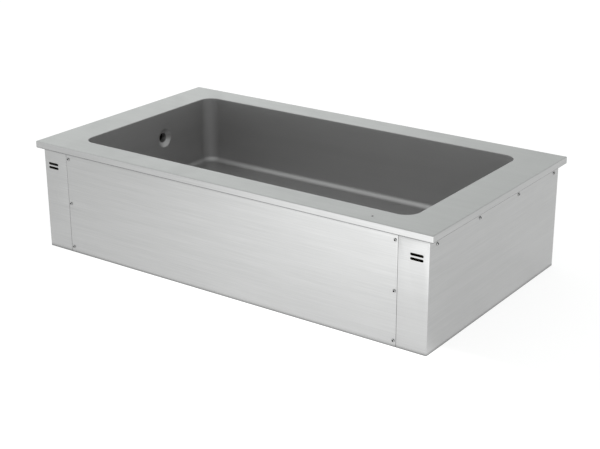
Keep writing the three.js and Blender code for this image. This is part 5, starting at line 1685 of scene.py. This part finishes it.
def make_element(name, node):
    low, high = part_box(node)
    radius = (high.z - low.z) / 2
    z = (low.z + high.z) / 2
    pitch = (high.x - low.x - 2 * radius) / (ELEMENT_LEGS - 1)
    far = high.y - radius
    near = -far + pitch / 2
    corners = []
    for leg in range(ELEMENT_LEGS):
        x = low.x + radius + leg * pitch
        ends = [(x, low.y if leg in (0, ELEMENT_LEGS - 1) else near, z), (x, far, z)]
        corners += ends if leg % 2 == 0 else ends[::-1]
    path = rounded_path(corners, pitch / 2, 12)
    pin = radius * 0.45
    terminal = Vector((0, PIN_LENGTH, 0))
    shoulder = Vector((0, PIN_LENGTH + SHEET / 4, 0))
    first, last = path[0], path[-1]
    path = [first, first + terminal, first + shoulder, *path[1:-1], last + shoulder, last + terminal, last]
    radii = [pin, pin, *[radius] * (len(path) - 4), pin, pin]
    return inner_piece(name, node, tube_mesh(path, radii), "heat_tinted_sheath")


def make_clamp_plate():
    low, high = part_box("heater_clamp_plate")
    mesh = ease_edges(box_mesh(low, high), SHEET / 4)
    plate = inner_piece("element_plate", "heater_clamp_plate", mesh, "zinc_plated_steel")
    holes = []
    for column in range(PLATE_HOLE_COLUMNS):
        for row in (-0.5, 0, 0.5):
            x = low.x + (high.x - low.x) * (column + 0.5) / PLATE_HOLE_COLUMNS
            place = (x, row * (high.y - low.y) * 0.8, (low.z + high.z) / 2)
            holes.append(drill(PLATE_HOLE_RADIUS, place, Vector((0, 0, 5 * SHEET)), 32))
    cut_away(plate, holes)


ELEMENTS = [make_element(f"{side}_element", f"{side}_heater") for side in ("left", "middle", "right")]
make_clamp_plate()
print("faces in each element:", [len(element.data.polygons) for element in ELEMENTS])

# %% Wool under the floor and round the walls
WOOL_STEP = 12 * SHEET
WOOL_HOLLOW = 1.6 * SHEET
WOOL_LUMP = 40 * SHEET
WOOL_FUZZ = 7 * SHEET
OVERFLOW_WINDOW = 25 * SHEET


def hollowed(point, inward, seed):
    """The point, pushed inward by slow lumps and a little fine fuzz."""
    lumps = noise.noise(point / WOOL_LUMP + Vector((seed, 0, 0)))
    fuzz = noise.noise(point / WOOL_FUZZ + Vector((0, seed, 0)))
    return point + inward * WOOL_HOLLOW * (0.5 + 0.4 * lumps + 0.1 * fuzz)


def make_floor_wool():
    low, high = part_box("floor_insulation")
    middle = (low + high) / 2
    mesh = box_mesh(low, high)
    for axis, size in enumerate(high - low):
        count = max(2, round(size / WOOL_STEP))
        normal = Vector((0, 0, 0))
        normal[axis] = 1
        for i in range(1, count):
            place = normal * (low[axis] + size * i / count)
            everything = [*mesh.verts, *mesh.edges, *mesh.faces]
            bmesh.ops.bisect_plane(mesh, geom=everything, plane_co=place, plane_no=normal)
    for vertex in mesh.verts:
        inward = Vector((0, 0, 0))
        for axis in range(3):
            if min(abs(vertex.co[axis] - low[axis]), abs(vertex.co[axis] - high[axis])) < SHEET / 100:
                inward[axis] = math.copysign(1, middle[axis] - vertex.co[axis])
        vertex.co = hollowed(vertex.co.copy(), inward, 3)
    return inner_piece("floor_wool", "floor_insulation", mesh, "pressed_wool", limit=WOOL_SMOOTH_LIMIT)


def dense_ring(grow, z):
    """The basin's outline, with points no further apart than the wool's step."""
    points = opening_ring(grow, z)
    dense = []
    for i, j in around(len(points)):
        count = max(1, math.ceil((points[j] - points[i]).length / WOOL_STEP))
        dense += [points[i].lerp(points[j], step / count) for step in range(count)]
    return dense


def make_wall_wool():
    low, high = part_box("wall_insulation")
    outside = high.x - BASIN_HALF_LENGTH
    levels = round((high.z - low.z) / WOOL_STEP)
    heights = [low.z + (high.z - low.z) * i / levels for i in range(levels + 1)]
    rings = []
    for height in heights:
        plain = dense_ring(outside, height)
        ways = [plain[(i + 1) % len(plain)] - plain[i - 1] for i in range(len(plain))]
        inward = [Vector((-way.y, way.x, 0)).normalized() for way in ways]
        rings.append([hollowed(point, way, 11) for point, way in zip(plain, inward)])
    for height in (heights[-1], heights[0]):
        inner = dense_ring(SHEET + GAP, height)
        rings.append([min(inner, key=lambda spot: (spot.xy - point.xy).length) for point in rings[0]])
    mesh = skin(rings)
    bmesh.ops.remove_doubles(mesh, verts=mesh.verts, dist=SHEET / 100)
    wool = inner_piece("wall_wool", "wall_insulation", mesh, "pressed_wool", limit=WOOL_SMOOTH_LIMIT)
    over = overflow_place()
    start, end = (over - Vector((reach, 0, 0)) for reach in (40 * SHEET, SHEET / 2))
    cut_away(wool, [rod_cutter(OVERFLOW_WINDOW, start, end, 64)])
    return wool


floor_wool = make_floor_wool()
wall_wool = make_wall_wool()
print("faces in the wool:", len(floor_wool.data.polygons), "and", len(wall_wool.data.polygons))

# %% [markdown]
# ## Controls at the right end
#
# A bracket behind the right end cover carries a terminal block, a safety thermostat and the gland for the
# supply cable. They are bought parts, moulded in plastic, so they have what mouldings have: soft edges,
# ribs, and recesses for screws. The thermostat's reset button is its own piece, because it moves.

# %% Terminal block
TERMINALS = 5


def slotted_screw(radius, height, slot_width):
    """A cheese-head screw about Z, standing on zero, with a slot across it."""
    mesh = turned(profile_of((0, 0), (radius, 0), (radius, height, radius * 0.25), (0, height)), 32)
    holder = link_new("slotted", as_data("slotted", mesh))
    slot_half = slot_width / 2
    cut_away(holder, [box_mesh((-radius * 2, -slot_half, height * 0.5), (radius * 2, slot_half, height * 2))])
    result = bmesh.new()
    result.from_mesh(holder.data)
    bpy.data.objects.remove(holder)
    return result


def make_terminal_block():
    low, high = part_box("terminal_block")
    mesh = ease_edges(box_mesh(low, high), SHEET * 0.6, 4)
    block = inner_piece("terminal_strip", "terminal_block", mesh, "moulded_ivory")
    pitch = (high.y - low.y) / TERMINALS
    half = pitch * 0.27
    wall = SHEET * 0.4
    depth, height = high.x - low.x, high.z - low.z
    front, top = high.x + SHEET, high.z + SHEET
    seat = high.x - depth * 0.66
    mouth_z = low.z + height * 0.26
    cutters, grooves, screws = [], [], []
    for i in range(TERMINALS):
        y = low.y + (i + 0.5) * pitch
        cutters.append(box_mesh((seat, y - half, high.z - height / 2), (front, y + half, top)))
        cutters.append(rod_cutter(half * 0.8, (high.x - depth * 0.4, y, mouth_z), (front, y, mouth_z), 24))
        if i:
            edge = low.y + i * pitch
            start = (low.x + depth * 0.3, edge - wall, low.z - SHEET)
            grooves.append(box_mesh(start, (front, edge + wall, top)))
    cut_away(block, cutters)
    cut_away(block, grooves)
    for i in range(TERMINALS):
        twist = Matrix.Rotation(i * 0.7 + 0.2, 4, "Z")
        head = moved(slotted_screw(half * 0.85, depth * 0.16, half * 0.3), twist)
        place = (seat - SHEET / 8, low.y + (i + 0.5) * pitch, high.z - height * 0.26)
        mesh = set_along(head, place, (1, 0, 0))
        screws.append(inner_piece(f"terminal_screw_{i + 1}", None, mesh, "turned_brass"))
    return [block, *screws]


TERMINAL_PIECES = make_terminal_block()
print("the terminal block has", len(TERMINAL_PIECES) - 1, "screws")

# %% Thermostat, its reset button and its feeler
BUTTON = middle_of("reset_button")
BUTTON_POCKET = 3.25 * SHEET
COLLAR_SHARES = ((0, -0.5), (1, -0.5), (0.96, 0), (0.96, 0.8), (0.86, 1), (0, 1))
BULB_SHARES = ((0, 0.55), (0.01, 0.8), (0.03, 1), (0.9, 1), (0.94, 0.8), (0.97, 0.5))


def make_thermostat():
    low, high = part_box("limit_thermostat")
    collar = 5 * SHEET
    face = high.x - collar
    along = Vector((1, 0, 0))
    size = high - low
    base = Vector((face, BUTTON.y, BUTTON.z))
    mesh = ease_edges(box_mesh(low, (face, high.y, high.z)), SHEET * 0.8, 4)
    piece = inner_piece("safety_thermostat", "limit_thermostat", mesh, "moulded_black")
    ring_mesh = turned([(collar * out, collar * up) for out, up in COLLAR_SHARES], 48)
    nut = nut_mesh(collar * 1.66, SHEET / 8, collar * 0.5, collar * 0.7)
    for addition in (ring_mesh, nut):
        add_on(piece, [set_along(addition, base, along)])
    cuts = []
    for side in (-1, 1):
        for i in range(5):
            spot = Vector((0, BUTTON.y + side * size.y / 2, low.z + size.z * (0.2 + 0.15 * i)))
            start = spot + Vector((low.x + 3 * SHEET, -SHEET * 0.6, -SHEET))
            cuts.append(box_mesh(start, spot + Vector((face - 3 * SHEET, SHEET * 0.6, SHEET))))
    for corner_y in (-1, 1):
        for corner_z in (-1, 1):
            spot = base + Vector((0, corner_y * size.y * 0.36, corner_z * size.z * 0.36))
            cuts.append(rod_cutter(1.6 * SHEET, spot - along * 3 * SHEET, spot + along * SHEET, 24))
    cut_away(piece, cuts)
    pocket = Vector((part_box("reset_button")[0].x - 2.5 * SHEET, BUTTON.y, BUTTON.z))
    cut_away(piece, [rod_cutter(BUTTON_POCKET, pocket, pocket + along * 20 * SHEET, 40)])
    return piece


def make_reset_button():
    low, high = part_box("reset_button")
    radius = (high.y - low.y) / 2
    length = high.x - low.x
    dip = length - SHEET / 4
    profile = profile_of(
        (0, 0), (radius * 0.9, 0), (radius, radius * 0.1), (radius, length * 0.8),
        (radius, length, radius * 0.35), (radius * 0.5, length), (radius * 0.4, dip), (0, dip),
    )
    mesh = set_along(turned(profile, 48), (low.x, BUTTON.y, BUTTON.z), (1, 0, 0))
    return inner_piece("reset_plunger", "reset_button", mesh, "button_red", "reset")


def make_feeler():
    low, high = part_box("sensor_bulb")
    radius = (high.y - low.y) / 2
    thin = SHEET * 5 / 6
    y, z = (low.y + high.y) / 2, middle_of("middle_heater").z
    bulb_end = low.x + 50 * SHEET
    drop_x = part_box("floor_insulation")[1].x + 10 / 3 * SHEET
    rise_x, foot_z = high.x - thin, low.z + thin
    corners = [(bulb_end, z), (drop_x, z), (drop_x, foot_z), (rise_x, foot_z), (rise_x, high.z)]
    lead = rounded_path([(x, y, level) for x, level in corners], 2.5 * SHEET)
    path = [Vector((low.x + share * (bulb_end - low.x), y, z)) for share, size in BULB_SHARES] + lead
    radii = [radius * size for share, size in BULB_SHARES] + [thin] * len(lead)
    return inner_piece("feeler_bulb", "sensor_bulb", tube_mesh(path, radii), "mirror_steel")


THERMOSTAT_PIECES = [make_thermostat(), make_reset_button(), make_feeler()]
print("made", [piece.name for piece in THERMOSTAT_PIECES])

# %% Cable gland and wire loom
GLAND_RADIUS = 7.5 * SHEET
GLAND_BORE = 25 / 6 * SHEET
GLAND_FLUTES = 16
LOOM_RADIUS = 35 / 12 * SHEET
LOOM_BRANCH_RADIUS = 5 / 3 * SHEET


def make_gland():
    low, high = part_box("cable_gland")
    middle = Vector((*middle_of("cable_gland").xy, 0))
    radius, foot = GLAND_RADIUS, low.z
    nut_high = high.z - 20 / 3 * SHEET
    nut_low = nut_high - 5 * SHEET
    profile = [(GLAND_BORE, foot), (radius * 0.66, foot)]
    profile += eased((radius * 0.66, foot), (radius * 0.78, foot), (radius, foot + radius * 0.5), SHEET / 2)
    profile += [(radius, foot + radius * 0.55), (radius, nut_high)]
    profile += threaded(radius, nut_high, high.z, SHEET * 1.2) + [(GLAND_BORE, high.z)]
    gland = inner_piece("gland_body", "cable_gland", set_at(turned(profile, 64), middle), "moulded_black")
    add_on(gland, [set_at(nut_mesh(high.y - low.y, nut_low, nut_high, (GLAND_BORE + radius) / 2), middle)])
    flutes = []
    for angle in circle(GLAND_FLUTES):
        start, end = (middle + on_circle(angle, radius, z) for z in (foot + 4 * SHEET, nut_low - SHEET))
        flutes.append(rod_cutter(SHEET / 2, start, end, 12))
    cut_away(gland, flutes)
    return gland


def make_loom():
    low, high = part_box("heater_loom")
    trunk = LOOM_RADIUS
    y, z = low.y + trunk, low.z + trunk
    hole_y, rise_x = high.y - trunk, high.x - trunk
    turn_x = BASIN_HALF_LENGTH + 125 / 12 * SHEET
    heater_z = middle_of("middle_heater").z
    corners = [
        (low.x, y, z), (turn_x, y, z), (turn_x, hole_y, z), (rise_x, hole_y, z), (rise_x, hole_y, high.z),
    ]
    tubes = [tube_mesh(*eased_ends(rounded_path(corners, 25 / 3 * SHEET, 12), trunk, SHEET / 2))]
    for side in ("left", "middle", "right"):
        heater_low, heater_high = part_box(f"{side}_heater")
        half = (heater_high.z - heater_low.z) / 2
        for x in (heater_low.x + half, heater_high.x - half):
            run = rounded_path([(x, y, z), (x, y, heater_z), (x, heater_low.y - GAP, heater_z)], 5 * SHEET)
            tubes.append(tube_mesh(*eased_ends(run, LOOM_BRANCH_RADIUS, SHEET / 4), sides=20))
    return inner_piece("braided_loom", "heater_loom", joined(tubes), "glass_braid")


gland_body = make_gland()
braided_loom = make_loom()
print("faces in gland and loom:", len(gland_body.data.polygons), "and", len(braided_loom.data.polygons))

# %% [markdown]
# ## Frame
#
# Posts, rails, tray and bracket are plain folded sheet, and the solids already have every fold, hole and
# window. So they stay, and get what a solid lacks: a broken edge, from a bevel that doesn't touch the
# mesh itself, and the dull, slightly blue skin of zinc plating.

# %% The solids that stay, with broken edges and a zinc skin
FRAME_NODES = [f"{end}_{side}_post" for end in ("front", "back") for side in ("left", "right")]
FRAME_NODES += ["left_floor_rail", "right_floor_rail", "base_plate", "control_bracket"]
for name in FRAME_NODES:
    solid = bpy.data.objects[name]
    for slot in solid.material_slots:
        slot.material = FINISH["zinc_plated_steel"]
    edge = solid.modifiers.new("broken_edge", "BEVEL")
    edge.width = SHEET / 5
    edge.segments = 2
    edge.limit_method = "ANGLE"
    edge.angle_limit = SHARP_EDGE
print(len(FRAME_NODES), "solids keep their shape and get a zinc skin")
